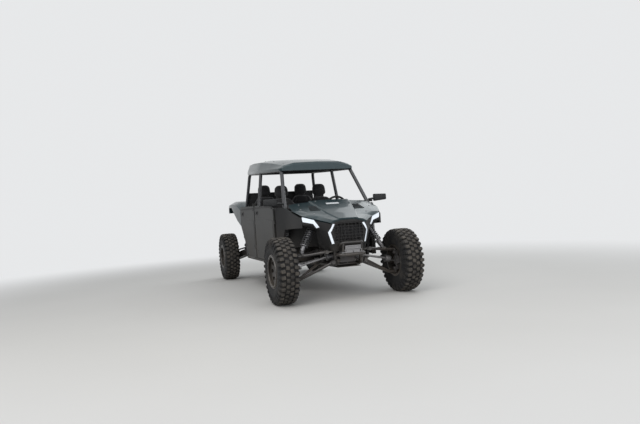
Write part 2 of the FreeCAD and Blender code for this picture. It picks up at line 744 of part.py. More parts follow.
def roofSection(back, part, sink, fall, skin):
    # closed outline: crown, crease, and the side that comes down over the cage's tubes
    share = min(max((back - roofStart) / 850.0, 0), 1)
    waist = 24 * max((back - 1750) / (roofEnd - 1750), 0)
    half = part * (size("RoofFrontHalf") + (size("RoofRearHalf") - size("RoofFrontHalf")) * share - waist)
    top = roofCrown(back) - sink
    low = cageLine(back) - 6
    crease = half - 62 + 18 * share
    outer = [(0, top - skin), (crease * 0.7, top - 7 - skin), (crease - skin * 0.6, top - fall - skin),
             (half - skin, low + 34), (half - skin, low - (1 if skin else 0))]
    return [(-x, z) for x, z in reversed(outer)] + outer[1:]


roofOuter = crossLoft("roof_outside", [(row[0], roofSection(*row, 0)) for row in roofStations])
roofInside = [(min(max(row[0], 758 + roofSkin), roofEnd - roofSkin),) + row[1:] for row in roofStations[1:]]
roofInner = crossLoft("roof_inside", [(row[0], roofSection(*row, roofSkin)) for row in roofInside])
for name in ("roof_outside", "roof_inside"):
    del nodes[name]
roof = doc.addObject("Part::Cut", "roof_shell")
roof.Base = roofOuter
roof.Tool = roofInner
roof.Label = "roof_panel"
nodes["roof_panel"] = roof

dashShape = ruledLoft([
    [at(x, 430, z) for x, z in ((-560, 1010), (560, 1010), (560, 1160), (-560, 1160))],
    [at(x, 560, z) for x, z in ((-560, 940), (560, 940), (560, 1215), (-560, 1215))],
    [at(x, 660, z) for x, z in ((-560, 960), (560, 960), (560, 1190), (-560, 1190))],
])
columnStart = at(size("SeatFrontOffset"), 560, 1010)
columnEnd = at(size("SeatFrontOffset"), 900, 1130)
column = rod(columnStart, columnEnd, 24)
dash = dashShape.cut(cage).cut(frame).cut(column)
feature("dashboard", max(dash.Solids, key=lambda s: s.Volume))
feature("steering_column", column)

wheelAxis = (columnEnd - columnStart).normalize()
wheelCentre = columnEnd + wheelAxis * 42
gripRadius = size("SteeringWheelGrip")
ringRadius = size("SteeringWheelRadius") - gripRadius
ring = Part.makeTorus(ringRadius, gripRadius, wheelCentre, wheelAxis)
hubShape = Part.makeCylinder(44, 42, columnEnd + wheelAxis * 0.5, wheelAxis)
spokes = []
across = Vector(1, 0, 0)
upward = wheelAxis.cross(across)
for angle in (0, 180, 270):
    turn = math.radians(angle)
    way = across * math.cos(turn) + upward * math.sin(turn)
    spokes.append(rod(wheelCentre - wheelAxis * 14 + way * 20, wheelCentre + way * ringRadius, 10))
feature("steering_wheel", joined([ring, hubShape] + spokes))

# Doors

doorFace = size("DoorFace")
doorThick = size("DoorThick")
belt = size("DoorTop")
doorTable = [
    # name, hinge, outline (back, height)
    ("front", hingeFront, [(hingeFront + 14, 500), (hingeFront + 14, belt - 120), (600, belt - 60), (1600, belt),
                           (hingeRear - 26, belt - 40), (hingeRear - 26, 470), (640, 470)]),
    ("rear", hingeRear, [(hingeRear + 14, 470), (hingeRear + 14, belt - 40), (1740, belt), (2600, belt + 16),
                         (2700, belt), (2700, 930), (2250, 500), (2200, 470)]),
]
for row, hingeBack, outline in doorTable:
    for side, hand in (("left", 1), ("right", -1)):
        name = "door_%s_%s" % (row, side)
        door = newBody(name)
        sketch = outlineSketch(door, name + "_outline", "YZ_Plane", [[(frontAxle + b, z) for b, z in outline]])
        pad = door.newObject("PartDesign::Pad", name + "_pad")
        pad.Profile = sketch
        pad.Length = doorThick
        pad.setExpression("Length", "Sizes.DoorThick")
        pad.Reversed = hand > 0
        for count, hingeHeight in enumerate(hingeHeights):
            label = "%s_hinge_%d" % (name, count)
            lugSide = hand * (hingeSide - doorFace)
            lugEdge = frontAxle + outline[0][0] + 6
            corners = [(lugSide - 10, frontAxle + hingeBack), (lugSide + 10, frontAxle + hingeBack),
                       (lugSide + 10, lugEdge), (lugSide - 10, lugEdge)]
            lugSketch = outlineSketch(door, label + "_web", "XY_Plane", [corners], hingeHeight)
            web = door.newObject("PartDesign::Pad", label + "_web_pad")
            web.Profile = lugSketch
            web.Length = 30
            eyeSketch = circleSketch(door, label + "_eye", "XY_Plane", [(lugSide, frontAxle + hingeBack, 11)], hingeHeight)
            eye = door.newObject("PartDesign::Pad", label + "_eye_pad")
            eye.Profile = eyeSketch
            eye.Length = 30
            holeSketch = circleSketch(door, label + "_hole", "XY_Plane",
                                      [(lugSide, frontAxle + hingeBack, hingePin + size("RunningGap"))], hingeHeight)
            hole = door.newObject("PartDesign::Pocket", label + "_bore")
            hole.Profile = holeSketch
            hole.Length = 40
            hole.Reversed = True
        door.Tip = hole
        door.Placement = Placement(Vector(hand * doorFace, 0, 0), Rotation())

# Seats

def seatShape(side, back, base, top):
    cushion = ruledLoft([
        [at(side - 235, back - 520, base + 40), at(side + 235, back - 520, base + 40),
         at(side + 235, back - 520, base + 190), at(side - 235, back - 520, base + 190)],
        [at(side - 240, back - 60, base), at(side + 240, back - 60, base),
         at(side + 240, back - 60, base + 130), at(side - 240, back - 60, base + 130)],
    ])
    backrest = ruledLoft([
        [at(side - 240, back - 130, base + 60), at(side + 240, back - 130, base + 60),
         at(side + 240, back - 10, base + 40), at(side - 240, back - 10, base + 40)],
        [at(side - 250, back - 40, top - 330), at(side + 250, back - 40, top - 330),
         at(side + 250, back + 60, top - 330), at(side - 250, back + 60, top - 330)],
        [at(side - 190, back, top - 220), at(side + 190, back, top - 220),
         at(side + 190, back + 90, top - 220), at(side - 190, back + 90, top - 220)],
        [at(side - 105, back + 10, top - 190), at(side + 105, back + 10, top - 190),
         at(side + 105, back + 100, top - 190), at(side - 105, back + 100, top - 190)],
        [at(side - 90, back + 30, top), at(side + 90, back + 30, top),
         at(side + 90, back + 110, top), at(side - 90, back + 110, top)],
    ])
    return joined([cushion, backrest])


frontSide = size("SeatFrontOffset")
rearSide = size("SeatRearOffset")
seatTable = [
    # name, side, back, base, top
    ("seat_front_left", frontSide, size("SeatFrontBack"), size("SeatFrontBase"), size("SeatFrontTop")),
    ("seat_front_right", -frontSide, size("SeatFrontBack"), size("SeatFrontBase"), size("SeatFrontTop")),
    ("seat_rear_left", rearSide, size("SeatRearBack"), size("SeatRearBase"), size("SeatRearTop")),
    ("seat_rear_right", -rearSide, size("SeatRearBack"), size("SeatRearBase"), size("SeatRearTop")),
]
mounts = []
for name, side, back, base, top in seatTable:
    feature(name, seatShape(side, back, base, top))
    mounts.append(block((side - 170, back - 470, floorTop), (side + 170, back - 120, base + 30)))
tunnel = nodes["floor_tub"].Shape
wholeTub = joined([tunnel] + mounts)
for row in seatTable:
    wholeTub = wholeTub.cut(nodes[row[0]].Shape)
nodes["floor_tub"].Shape = wholeTub

# Front suspension and drive

armTube = size("ArmTube")
armTable = [
    # inner side, inner height, spread of the pivots, outer height
    (214, lowerPivot, 200, axleHeight - spread - 40),
    (285, upperPivot, 180, axleHeight + spread + 40),
]
shockFoot = axleHeight + spread + 100
armShapes = []
for innerSide, innerHeight, pivots, outerHeight in armTable:
    tip = at(kingpin, 0, outerHeight)
    neck = at(kingpin - 90, 0, outerHeight)
    parts = [rod(tip - Vector(0, 0, 14), tip + Vector(0, 0, 14), 22)]
    for hand in (1, -1):
        inner = at(innerSide, hand * pivots, innerHeight)
        parts.append(bentTube([tip, neck + Vector(0, hand * 12, 0), inner], armTube, 60))
        parts.append(rod(inner - Vector(0, 30, 0), inner + Vector(0, 30, 0), 24))
    if outerHeight > axleHeight:
        parts.append(block((515, -72, shockFoot - 40), (565, 72, shockFoot - 20)))
    socket = rod(tip - Vector(0, 0, 40), tip + Vector(0, 0, 40), stud + size("RunningGap"))
    armShapes.append(joined(parts).cut(socket))
frontArms = [s.cut(frame) for s in armShapes]
frontArms = [max(s.Solids, key=lambda piece: piece.Volume) for s in frontArms]
feature("front_arms", Part.makeCompound([s for arm in frontArms for s in both(arm)]))


def coilOver(low, high):
    # damper with its spring, turned about its own axis, and an eye at each end
    total = (high - low).Length
    spring = size("ShockSpring")
    core = spring - 13
    first = total * 0.2
    last = total - 92
    turns = int(size("ShockTurns"))
    pitch = (last - first) / turns
    outline = [(0, 12), (30, 12), (30, first - 14), (spring + 4, first - 14), (spring + 4, first)]
    for index in range(turns):
        start = first + pitch * index
        outline += [(core, start + 0.08 * pitch), (spring, start + 0.34 * pitch), (spring, start + 0.66 * pitch),
                    (core, start + 0.92 * pitch)]
    outline += [(spring + 4, last), (spring + 4, last + 16), (24, last + 16), (24, total - 12), (0, total - 12)]
    face = Part.Face(closedWire([(r, 0, z) for r, z in outline]))
    body = face.revolve(Vector(0, 0, 0), Vector(0, 0, 1), 360)
    body.Placement = Placement(low, Rotation(Vector(0, 0, 1), high - low))
    across = Vector(0, 1, 0)
    eyes = [rod(end - across * 22, end + across * 22, 20) for end in (low, high)]
    return joined([body] + eyes)


frontShock = coilOver(at(540, 0, shockFoot), at(318, 80, shockTop)).cut(frame)
frontShock = max(frontShock.Solids, key=lambda s: s.Volume)
rearShock = coilOver(at(560, 3240, 500), at(440, 3070, rearShockTop)).cut(frame)
rearShock = max(rearShock.Solids, key=lambda s: s.Volume)
feature("shocks", Part.makeCompound(both(frontShock) + both(rearShock)))

diffHeight = 540
gearbox = joined([
    block((-95, -150, 455), (95, 66, 640)),
    rod(at(-150, 0, diffHeight), at(150, 0, diffHeight), 62),
    pipe(at(-190, rackBack, rackLine), at(190, rackBack, rackLine), 30, rackBar + size("RunningGap")),
    block((-40, 60, rackLine - 20), (40, rackBack - 24, rackLine + 20)),
]).cut(frame)
frontDrive = max(gearbox.Solids, key=lambda s: s.Volume)

shafts = []
for hand in (1, -1):
    inner = at(hand * 150, 0, diffHeight)
    outer = at(hand * 640, 0, axleHeight + 24)
    shafts.append(joined([rod(inner, outer, 14), rod(inner, inner + (outer - inner) * 0.16, 46),
                          rod(outer - (outer - inner) * 0.14, outer, 44)]))
    inner = at(hand * 150, rearAxleBack, 550)
    outer = at(hand * 690, rearAxleBack, axleHeight + 6)
    shafts.append(joined([rod(inner, outer, 16), rod(inner, inner + (outer - inner) * 0.16, 44),
                          rod(outer - (outer - inner) * 0.14, outer, 48)]))

# Rear suspension and drive

arm = joined([
    ruledLoft([
        [at(x, 2830, z) for x, z in ((560, 440), (604, 440), (604, 500), (560, 500))],
        [at(x, 3200, z) for x, z in ((548, 420), (608, 420), (608, 520), (548, 520))],
        [at(x, rearAxleBack - 65, z) for x, z in ((600, 360), (668, 360), (668, 470), (600, 470))],
        [at(x, rearAxleBack + 55, z) for x, z in ((610, 350), (676, 350), (676, 462), (610, 462))],
    ]),
    rod(at(556, 2830, 470), at(612, 2830, 470), 36),
    rod(at(612, rearAxleBack, axleHeight), at(bearingOut, rearAxleBack, axleHeight), 66),
    rod(at(bearingOut - 20, rearAxleBack, axleHeight), at(spindleEnd, rearAxleBack, axleHeight),
        size("SpindleRadius")),
    rod(at(534, 3240, 500), at(586, 3240, 500), 22),
])
rods = []
rodEnds = [
    # outer height, inner height, inner place behind the axle
    (330, 470, 135),
    (500, 600, 135),
]
for outerHeight, innerHeight, innerBack in rodEnds:
    outer = at(640, rearAxleBack + 95, outerHeight)
    inner = at(150, rearAxleBack + innerBack, innerHeight)
    rods.append(rod(inner, outer, 13))
    rods.append(rod(inner - Vector(0, 20, 0), inner + Vector(0, 20, 0), 20))
    rods.append(rod(outer - Vector(0, 60, 0), outer + Vector(0, 20, 0), 18))
    rods.append(rod(at(640, rearAxleBack + 15, 420), outer - Vector(0, 30, 0), 22))
armSolid = joined([arm] + rods).cut(rearShock).cut(Part.makeCompound(shafts)).cut(frame)
armSolid = max(armSolid.Solids, key=lambda s: s.Volume)
feature("rear_arms", Part.makeCompound(both(armSolid)))

engine = joined([
    block((-190, 2960, 470), (190, 3340, 900)),
    block((-120, 3340, 440), (120, rearAxleBack + 95, 640)),
    rod(at(-150, rearAxleBack, 550), at(150, rearAxleBack, 550), 66),
    rod(at(0, 2900, 920), at(0, 3380, 920), 40),
])
for piece in both(armSolid):
    engine = engine.cut(piece)
engine = engine.cut(frame)
engine = max(engine.Solids, key=lambda s: s.Volume)
feature("powertrain", Part.makeCompound([engine, frontDrive]))
shafts = [shaft.cut(frontDrive).cut(engine) for shaft in shafts]
feature("half_shafts", Part.makeCompound([max(s.Solids, key=lambda piece: piece.Volume) for s in shafts]))
muffler = rearAxleBack + 219
exhaust = joined([
    rod(at(-230, muffler, 852), at(230, muffler, 852), 78),
    rod(at(120, muffler + 36, 852), at(120, muffler + 106, 852), 30),
    rod(at(60, 3300, 800), at(60, muffler - 24, 852), 26),
]).cut(frame).cut(engine)
feature("exhaust", max(exhaust.Solids, key=lambda s: s.Volume))

# Rear bodywork

bedFront = 2960
bedEnd = rearAxleBack + 275
bedTop = bedFloor + size("BedDepth")
bedOuter = block((-bedHalf - bedWall, bedFront, bedUnder), (bedHalf + bedWall, bedEnd, bedTop))
bedInner = block((-bedHalf, bedFront + bedWall, bedFloor), (bedHalf, bedEnd - bedWall, bedTop + 1))
feature("cargo_bed", bedOuter.cut(bedInner))

wingTop = size("WingTop")
wingStations = [
    # back, bottom, top below the wing's highest line, outer side
    (2712, 940, 118, 722),
    (2900, 1032, 38, 742),
    (3050, 1134, 14, 756),
    (3250, 1262, 0, 766),
    (3450, 1266, 8, 766),
    (3620, 1256, 40, 744),
]
wingInner = bedHalf + bedWall
sections = []
for back, bottom, sink, outer in wingStations:
    top = wingTop - sink
    flange = bedTop - 70
    sections.append([
        at(wingInner, back, flange), at(wingInner, back, top), at(outer - 90, back, top),
        at(outer, back, top - 50), at(outer, back, bottom), at(outer - 16, back, bottom),
        at(outer - 16, back, top - 58), at(outer - 96, back, top - 16), at(wingInner + 14, back, top - 16),
        at(wingInner + 14, back, flange),
    ])
endBack, endBottom, endSink, endOuter = wingStations[-1]
endTop = wingTop - endSink
lampLow = bedTop - 70
endWall = [(wingInner, endTop), (endOuter - 90, endTop), (endOuter, endTop - 50), (endOuter, lampLow),
           (wingInner, lampLow)]
wall = prism([at(x, endBack - 14, z) for x, z in endWall], (0, 14, 0))
cabWall = block((-580, 2600, 900), (580, 2724, 1500))
rearFender = joined([ruledLoft(sections), wall]).cut(cabWall).cut(cage).cut(frame)
rearFender = max(rearFender.Solids, key=lambda s: s.Volume)
feature("rear_fenders", Part.makeCompound(both(rearFender)))
tailLamp = block((540, endBack, lampLow + 12), (700, endBack + 26, lampLow + 72))
feature("tail_lamps", Part.makeCompound(both(tailLamp)))

rearReach = size("WheelBase") + size("RearReach")
rearBumper = joined([
    bentTube([at(-430, bedEnd - 80, bedUnder - 8), at(-430, rearReach - 25, 660), at(430, rearReach - 25, 660),
              at(430, bedEnd - 80, bedUnder - 8)], 25, 90),
    bentTube([at(-222, deckEnd + 8, 715), at(-222, rearReach - 30, 715), at(222, rearReach - 30, 715),
              at(222, deckEnd + 8, 715)], 20, 60),
    rod(at(-130, rearReach - 30, 709), at(-130, rearReach - 26, 664), 18),
    rod(at(130, rearReach - 30, 709), at(130, rearReach - 26, 664), 18),
])
rearBumper = rearBumper.cut(frame).cut(nodes["cargo_bed"].Shape)
feature("rear_bumper", max(rearBumper.Solids, key=lambda s: s.Volume))

# Front bumper, winch and mirrors

face = -size("FrontReach")
frontBumper = joined([
    bentTube([at(-158, -150, 560), at(-168, face + 20, 560), at(168, face + 20, 560), at(158, -150, 560)], 20, 50),
    bentTube([at(-150, -196, 610), at(-140, face + 14, 704), at(140, face + 14, 704), at(150, -196, 610)], 14, 40),
    rod(at(-128, face + 24, 560), at(-116, face + 16, 704), 12),
    rod(at(128, face + 24, 560), at(116, face + 16, 704), 12),
])
frontBumper = frontBumper.cut(frame)
feature("front_bumper", max(frontBumper.Solids, key=lambda s: s.Volume))
plateHeight = 580 + seatGap
winch = joined([
    rod(at(-92, -292, 628), at(92, -292, 628), 33),
    block((-146, face + 8, plateHeight), (146, -212, plateHeight + 10)),
    block((-96, face + 20, plateHeight), (-84, -250, 664)),
    block((84, face + 20, plateHeight), (96, -250, 664)),
    block((-100, face, 620), (100, face + 12, 668)),
    block((-90, face + 8, plateHeight), (90, face + 14, 668)),
])
winch = winch.cut(nodes["front_bumper"].Shape).cut(frame)
feature("winch", max(winch.Solids, key=lambda s: s.Volume))

mirror = joined([
    ruledLoft([
        [at(690, 452, 1195), at(690, 500, 1195), at(690, 500, 1295), at(690, 452, 1295)],
        [at(870, 440, 1210), at(870, 470, 1210), at(870, 470, 1290), at(870, 440, 1290)],
    ]),
    rod(at(606, 450, 1225), at(700, 470, 1235), 14),
])
mirrorPiece = mirror.cut(cage)
mirrorPiece = max(mirrorPiece.Solids, key=lambda s: s.Volume)
feature("side_mirrors", Part.makeCompound(both(mirrorPiece)))

doc.recompute()


def trimmed(name, tools):
    whole = nodes[name]
    whole.Label = name + "_whole"
    tool = doc.addObject("Part::Compound", name + "_neighbours")
    tool.Links = [nodes[other] for other in tools]
    cut = doc.addObject("Part::Cut", name + "_trimmed")
    cut.Base = whole
    cut.Tool = tool
    cut.Label = name
    nodes[name] = cut


trimTable = [
    # node, neighbours that it gives way to
    ("roof_panel", ["cage_sides", "cage_crossbars"]),
    ("front_fascia", ["hood", "frame_floor", "frame_front", "front_bumper", "front_arms"]),
    ("grille", ["front_lamps", "front_fascia"]),
]
for name, tools in trimTable:
    trimmed(name, tools)
doc.recompute()

for item in doc.Objects:
    if "Invalid" in item.State or "Error" in item.State:
        raise RuntimeError("%s is not sound" % item.Label)
for name, item in nodes.items():
    shape = item.Shape
    if shape.isNull() or not shape.isValid() or shape.Volume <= 0:
        raise RuntimeError("%s has no sound shape" % name)

os.makedirs("parts", exist_ok=True)
for name, item in nodes.items():
    item.Shape.exportStep("parts/%s.step" % name)
print("parts:", len(nodes))
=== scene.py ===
import json
import math
import bmesh
import bpy
from mathutils import Matrix, Vector
from mathutils.bvhtree import BVHTree


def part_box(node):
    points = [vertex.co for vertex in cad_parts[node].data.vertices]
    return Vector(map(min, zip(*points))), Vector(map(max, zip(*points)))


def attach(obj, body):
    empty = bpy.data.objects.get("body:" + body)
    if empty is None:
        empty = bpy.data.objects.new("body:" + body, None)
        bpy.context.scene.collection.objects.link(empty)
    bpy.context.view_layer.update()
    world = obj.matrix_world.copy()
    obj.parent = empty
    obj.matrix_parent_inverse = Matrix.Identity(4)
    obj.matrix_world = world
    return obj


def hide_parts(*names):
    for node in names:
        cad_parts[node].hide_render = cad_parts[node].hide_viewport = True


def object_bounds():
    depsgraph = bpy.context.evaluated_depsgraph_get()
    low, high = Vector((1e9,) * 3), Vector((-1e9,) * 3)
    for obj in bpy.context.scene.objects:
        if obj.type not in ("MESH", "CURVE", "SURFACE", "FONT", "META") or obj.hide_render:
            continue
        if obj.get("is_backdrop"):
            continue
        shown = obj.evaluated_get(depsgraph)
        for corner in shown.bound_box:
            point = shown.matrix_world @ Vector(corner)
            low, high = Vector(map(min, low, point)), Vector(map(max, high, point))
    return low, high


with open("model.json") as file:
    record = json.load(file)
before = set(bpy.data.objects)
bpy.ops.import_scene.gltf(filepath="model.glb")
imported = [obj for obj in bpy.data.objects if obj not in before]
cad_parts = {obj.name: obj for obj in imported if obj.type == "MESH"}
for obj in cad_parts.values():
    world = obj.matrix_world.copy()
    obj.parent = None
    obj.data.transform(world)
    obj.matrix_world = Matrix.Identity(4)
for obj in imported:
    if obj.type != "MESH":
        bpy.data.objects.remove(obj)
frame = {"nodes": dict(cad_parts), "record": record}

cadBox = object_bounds()
nodes = frame["nodes"]
collection = bpy.context.scene.collection
slotOf = {row["node"]: row["material_slot"] for row in frame["record"]["subparts"]}
bodies = frame["record"]["behaviour"]["bodies"]
bodyOf = {name: body for body, names in bodies.items() for name in names}

# where the CAD has the wheels
frontAxle = -1.75866
wheelbase = 3.505
axleHeight = 0.4065
wheelSide = 0.813
axles = {"front": frontAxle, "rear": frontAxle + wheelbase}
hands = {"left": 1, "right": -1}


def at(side, back, height):
    # a point by its distance behind the front axle
    return Vector((side, frontAxle + back, height))


print("stage: camera and light")

shot = {
    "place": (-2.598, -6.620, 1.081), "yaw": 19.38, "pitch": 0.07, "roll": -3.64,
    "lens": 31.78, "sight": 200,
}
lights = [
    # name, place, aim, size, power, colour
    ("key", (-5.0, -6.0, 6.5), (0, -0.3, 0.8), (6, 5), 360, (1.0, 0.98, 0.95)),
    ("rim", (7.0, 3.5, 5.5), (0, 0, 0.8), (7, 7), 240, (0.95, 0.98, 1.0)),
    ("front", (2.5, -9.0, 3.2), (0, -1.5, 0.8), (6, 3), 150, (1.0, 1.0, 1.0)),
    ("top", (0, 0, 8.0), (0, 0, 0), (8, 10), 260, (0.97, 0.99, 1.0)),
]
backdrop = {
    "tone": (0.80, 0.81, 0.82), "fade": (3.6, 9.0),
    "ambient": (0.80, 0.82, 0.85), "strength": 0.45,
    "size": 30, "cells": 8, "floor": ((0.52, 0.515, 0.50), (0.56, 0.555, 0.54)),
}


def makeCamera():
    yaw, pitch, roll = (math.radians(shot[k]) for k in ("yaw", "pitch", "roll"))
    flat = math.cos(pitch)
    look = Vector((math.sin(yaw) * flat, math.cos(yaw) * flat, math.sin(pitch)))
    level = Vector((math.cos(yaw), -math.sin(yaw), 0))
    upward = level.cross(look)
    across = level * math.cos(roll) + upward * math.sin(roll)
    top = upward * math.cos(roll) - level * math.sin(roll)
    turn = Matrix((across, top, -look)).transposed().to_4x4()
    data = bpy.data.cameras.new("camera")
    data.lens = shot["lens"]
    data.clip_end = shot["sight"]
    camera = bpy.data.objects.new("camera", data)
    collection.objects.link(camera)
    camera.matrix_world = Matrix.Translation(at(*shot["place"])) @ turn
    bpy.context.scene.camera = camera


def makeLight(name, place, aim, size, power, colour):
    data = bpy.data.lights.new(name, "AREA")
    data.shape = "RECTANGLE"
    data.size, data.size_y = size
    data.energy = power
    data.color = colour
    lamp = bpy.data.objects.new(name, data)
    collection.objects.link(lamp)
    lamp.location = place
    lamp.rotation_euler = (Vector(aim) - Vector(place)).to_track_quat("-Z", "Y").to_euler()


makeCamera()
for row in lights:
    makeLight(*row)
bpy.context.scene.view_settings.view_transform = "Standard"


print("stage: materials")


class Flow:
    # a shader socket that takes sums and products like a number

    def __init__(self, graph, socket):
        self.graph = graph
        self.socket = socket

    def joined(self, kind, *values):
        return self.graph.flow("Math", dict(enumerate(values)), operation=kind)

    def calc(self, kind, *others):
        return self.joined(kind, self, *others)

    def __add__(self, other):
        return self.calc("ADD", other)

    def __radd__(self, other):
        return self.joined("ADD", other, self)

    def __sub__(self, other):
        return self.calc("SUBTRACT", other)

    def __rsub__(self, other):
        return self.joined("SUBTRACT", other, self)

    def __mul__(self, other):
        return self.calc("MULTIPLY", other)

    def __pow__(self, other):
        return self.calc("POWER", other)

    def ramp(self, low, high):
        sockets = {"Value": self, "From Min": low, "From Max": high}
        return self.graph.flow("MapRange", sockets, "Result", interpolation_type="SMOOTHSTEP")


class Graph:
    # a node tree, with the textures that feed its shaders

    def __init__(self, tree):
        self.tree = tree

    def plug(self, value, socket):
        if isinstance(value, Flow):
            self.tree.links.new(value.socket, socket)
        else:
            socket.default_value = value

    def node(self, kind, sockets, **settings):
        # a node's settings, then the values or links of its sockets
        made = self.tree.nodes.new("ShaderNode" + kind)
        for key, value in settings.items():
            setattr(made, key, value)
        for key, value in sockets.items():
            self.plug(value, made.inputs[key])
        return made.outputs

    def flow(self, kind, sockets, output=0, **settings):
        return Flow(self, self.node(kind, sockets, **settings)[output])

    def coords(self):
        return self.flow("TexCoord", {}, "Object")

    def axes(self):
        return [Flow(self, axis) for axis in self.node("SeparateXYZ", {0: self.coords()})]

    def noise(self, scale, detail=3.0, rough=0.5, vector=None):
        place = vector or self.coords()
        sockets = {"Vector": place, "Scale": scale, "Detail": detail, "Roughness": rough}
        return self.flow("TexNoise", sockets, "Fac")

    def cells(self, scale):
        return self.flow("TexVoronoi", {"Vector": self.coords(), "Scale": scale}, "Distance")

    def mix(self, amount, first, second):
        first, second = (c if isinstance(c, Flow) else (*c, 1) for c in (first, second))
        return self.flow("Mix", {0: amount, 6: first, 7: second}, 2, data_type="RGBA")

    def blend(self, amount, first, second, output):
        mixed = self.node("MixShader", {0: amount, 1: first, 2: second})
        self.tree.links.new(mixed[0], output)

    def seenDirectly(self):
        # one for what the camera, a mirror or a glass sees
        rays = self.node("LightPath", {})
        names = ("Is Camera Ray", "Is Glossy Ray", "Is Transmission Ray")
        camera, glossy, through = (Flow(self, rays[name]) for name in names)
        return camera.calc("MAXIMUM", glossy).calc("MAXIMUM", through)


class Paint(Graph):
    # one material; fixed values go on its shader's own sockets

    def __init__(self, name, **fixed):
        self.material = bpy.data.materials.new(name)
        self.material.use_nodes = True
        super().__init__(self.material.node_tree)
        self.shader = self.tree.nodes["Principled BSDF"]
        self.use(**fixed)

    def use(self, **sockets):
        for key, value in sockets.items():
            self.plug(value, self.shader.inputs[key.replace("_", " ")])

    def dusted(self, base, dust, rough, tone=None):
        self.use(Base_Color=self.mix(dust, base, tone or dustLook["tone"]), Roughness=rough)

    def bump(self, height, strength, distance):
        sockets = {"Height": height, "Strength": strength, "Distance": distance}
        self.use(Normal=self.flow("Bump", sockets))


dustLook = {"tone": (0.23, 0.185, 0.14), "patches": 3.1, "grains": 55.0}
glossLook = {
    "flakes": 900.0, "drift": 1.3, "peel": 420.0, "rough": 0.26, "dust": (0.7, 2.1, 0.10),
    "dark": (0.003, 0.013, 0.018), "light": (0.005, 0.019, 0.025), "flake": (0.020, 0.060, 0.072),
}
tyreLook = {
    # the dust tone also colours the painted highlight on the tread blocks' tops
    "dust": (0.21, 0.185, 0.155), "tread": (0.385, 0.4045), "rings": 900.0,
    "dark": (0.010, 0.010, 0.011), "light": (0.022, 0.022, 0.023),
}


def dustOn(paint, low, high, most):
    # trail dust that thickens towards the ground and lies in patches
    height = paint.axes()[2]
    patches = paint.noise(dustLook["patches"], 5.0, 0.62).ramp(0.38, 0.72)
    grains = paint.noise(dustLook["grains"], 2.0, 0.6).ramp(0.35, 0.7)
    return (1.0 - height.ramp(low, high)) * (patches * 0.7 + 0.3) * (grains * 0.5 + 0.5) * most


def glossPaint(name):
    paint = Paint(name, Metallic=0.25, Specular_IOR_Level=0.2)
    paint.use(Coat_Weight=0.5, Coat_Roughness=0.045, Coat_IOR=1.3)
    flake = paint.cells(glossLook["flakes"]).ramp(0.0, 0.75)
    base = paint.mix(paint.noise(glossLook["drift"], 2.0), glossLook["dark"], glossLook["light"])
    base = paint.mix(flake * 0.22, base, glossLook["flake"])
    dust = dustOn(paint, *glossLook["dust"])
    paint.dusted(base, dust, glossLook["rough"] + paint.noise(24.0, 4.0) * 0.06 + dust * 0.6)
    paint.bump(paint.noise(glossLook["peel"], 2.0), 0.02, 0.0004)
    return paint.material


def satinPlastic(name, dark, light, grain, gloss, dustMost):
    paint = Paint(name, Specular_IOR_Level=0.3)
    drift = paint.noise(2.4, 3.0)
    dust = dustOn(paint, 0.35, 1.25, dustMost)
    scuff = paint.noise(90.0, 6.0, 0.7).ramp(0.62, 0.8) * 0.25
    base = paint.mix(scuff, paint.mix(drift, dark, light), (0.06, 0.06, 0.06))
    paint.dusted(base, dust, gloss + drift * 0.08 + dust * 0.5)
    paint.bump(paint.cells(grain) + paint.noise(grain * 0.4, 2.0) * 0.6, 0.22, 0.0005)
    return paint.material


def powderCoat(name, tone, gloss, dustMost):
    paint = Paint(name, Metallic=0.15, Coat_Weight=0.25, Coat_Roughness=0.3)
    drift = paint.noise(6.0, 3.0)
    dust = dustOn(paint, 0.3, 1.0, dustMost)
    base = paint.mix(drift, [c * 0.8 for c in tone], [c * 1.3 for c in tone])
    paint.dusted(base, dust, gloss + drift * 0.1 + dust * 0.5)
    paint.bump(paint.noise(520.0, 3.0, 0.6), 0.12, 0.0006)
    return paint.material


def bareMetal(name, tone, gloss, dustMost=0.25):
    paint = Paint(name)
    stretched = paint.flow("Mapping", {"Vector": paint.coords(), "Scale": (12.0, 12.0, 260.0)})
    lines = paint.noise(6.0, 3.0, 0.6, stretched)
    dust = dustOn(paint, 0.3, 1.1, dustMost)
    base = paint.mix(lines, [c * 0.75 for c in tone], tone)
    paint.dusted(base, dust, gloss + lines * 0.14 + dust * 0.5)
    paint.use(Metallic=1.0 - dust * 0.9)
    paint.bump(lines, 0.08, 0.0004)
    return paint.material


def castMetal(name, tone):
    paint = Paint(name, Metallic=0.7)
    pits = paint.cells(260.0)
    dust = dustOn(paint, 0.3, 1.1, 0.4)
    base = paint.mix(paint.noise(14.0, 4.0), [c * 0.6 for c in tone], tone)
    paint.dusted(base, dust, 0.52 + pits * 0.2 + dust * 0.3)
    paint.bump(pits + paint.noise(180.0, 4.0), 0.35, 0.0008)
    return paint.material


def tyreRubber(name, axle):
    # dust on the tread blocks with a painted highlight lightening their tops, a fainter dust bloom and fine
    # rings on the walls
    paint = Paint(name, Specular_IOR_Level=0.3)
    x, y, z = paint.axes()
    reach = ((y - axle) * (y - axle) + (z - axleHeight) * (z - axleHeight)) ** 0.5
    tread = reach.ramp(*tyreLook["tread"])
    patches = paint.noise(11.0, 5.0, 0.65).ramp(0.3, 0.75)
    fine = paint.noise(160.0, 4.0, 0.7)
    wall = paint.noise(5.0, 5.0, 0.6).ramp(0.45, 0.8) * 0.22
    # on the tread this is dust and a painted highlight on the blocks' tops; on the walls it is dust bloom
    dust = tread * (patches * 0.50 + 0.12) * (fine * 0.6 + 0.4) + wall * (1.0 - tread)
    base = paint.mix(paint.noise(30.0, 3.0), tyreLook["dark"], tyreLook["light"])
    paint.dusted(base, dust, 0.72 + fine * 0.12 + dust * 0.2, tyreLook["dust"])
    rings = (reach * tyreLook["rings"]).calc("SINE") * (1.0 - tread) * 0.15
    paint.bump(fine + paint.cells(340.0) * 0.5 + rings, 0.3, 0.0008)
    return paint.material


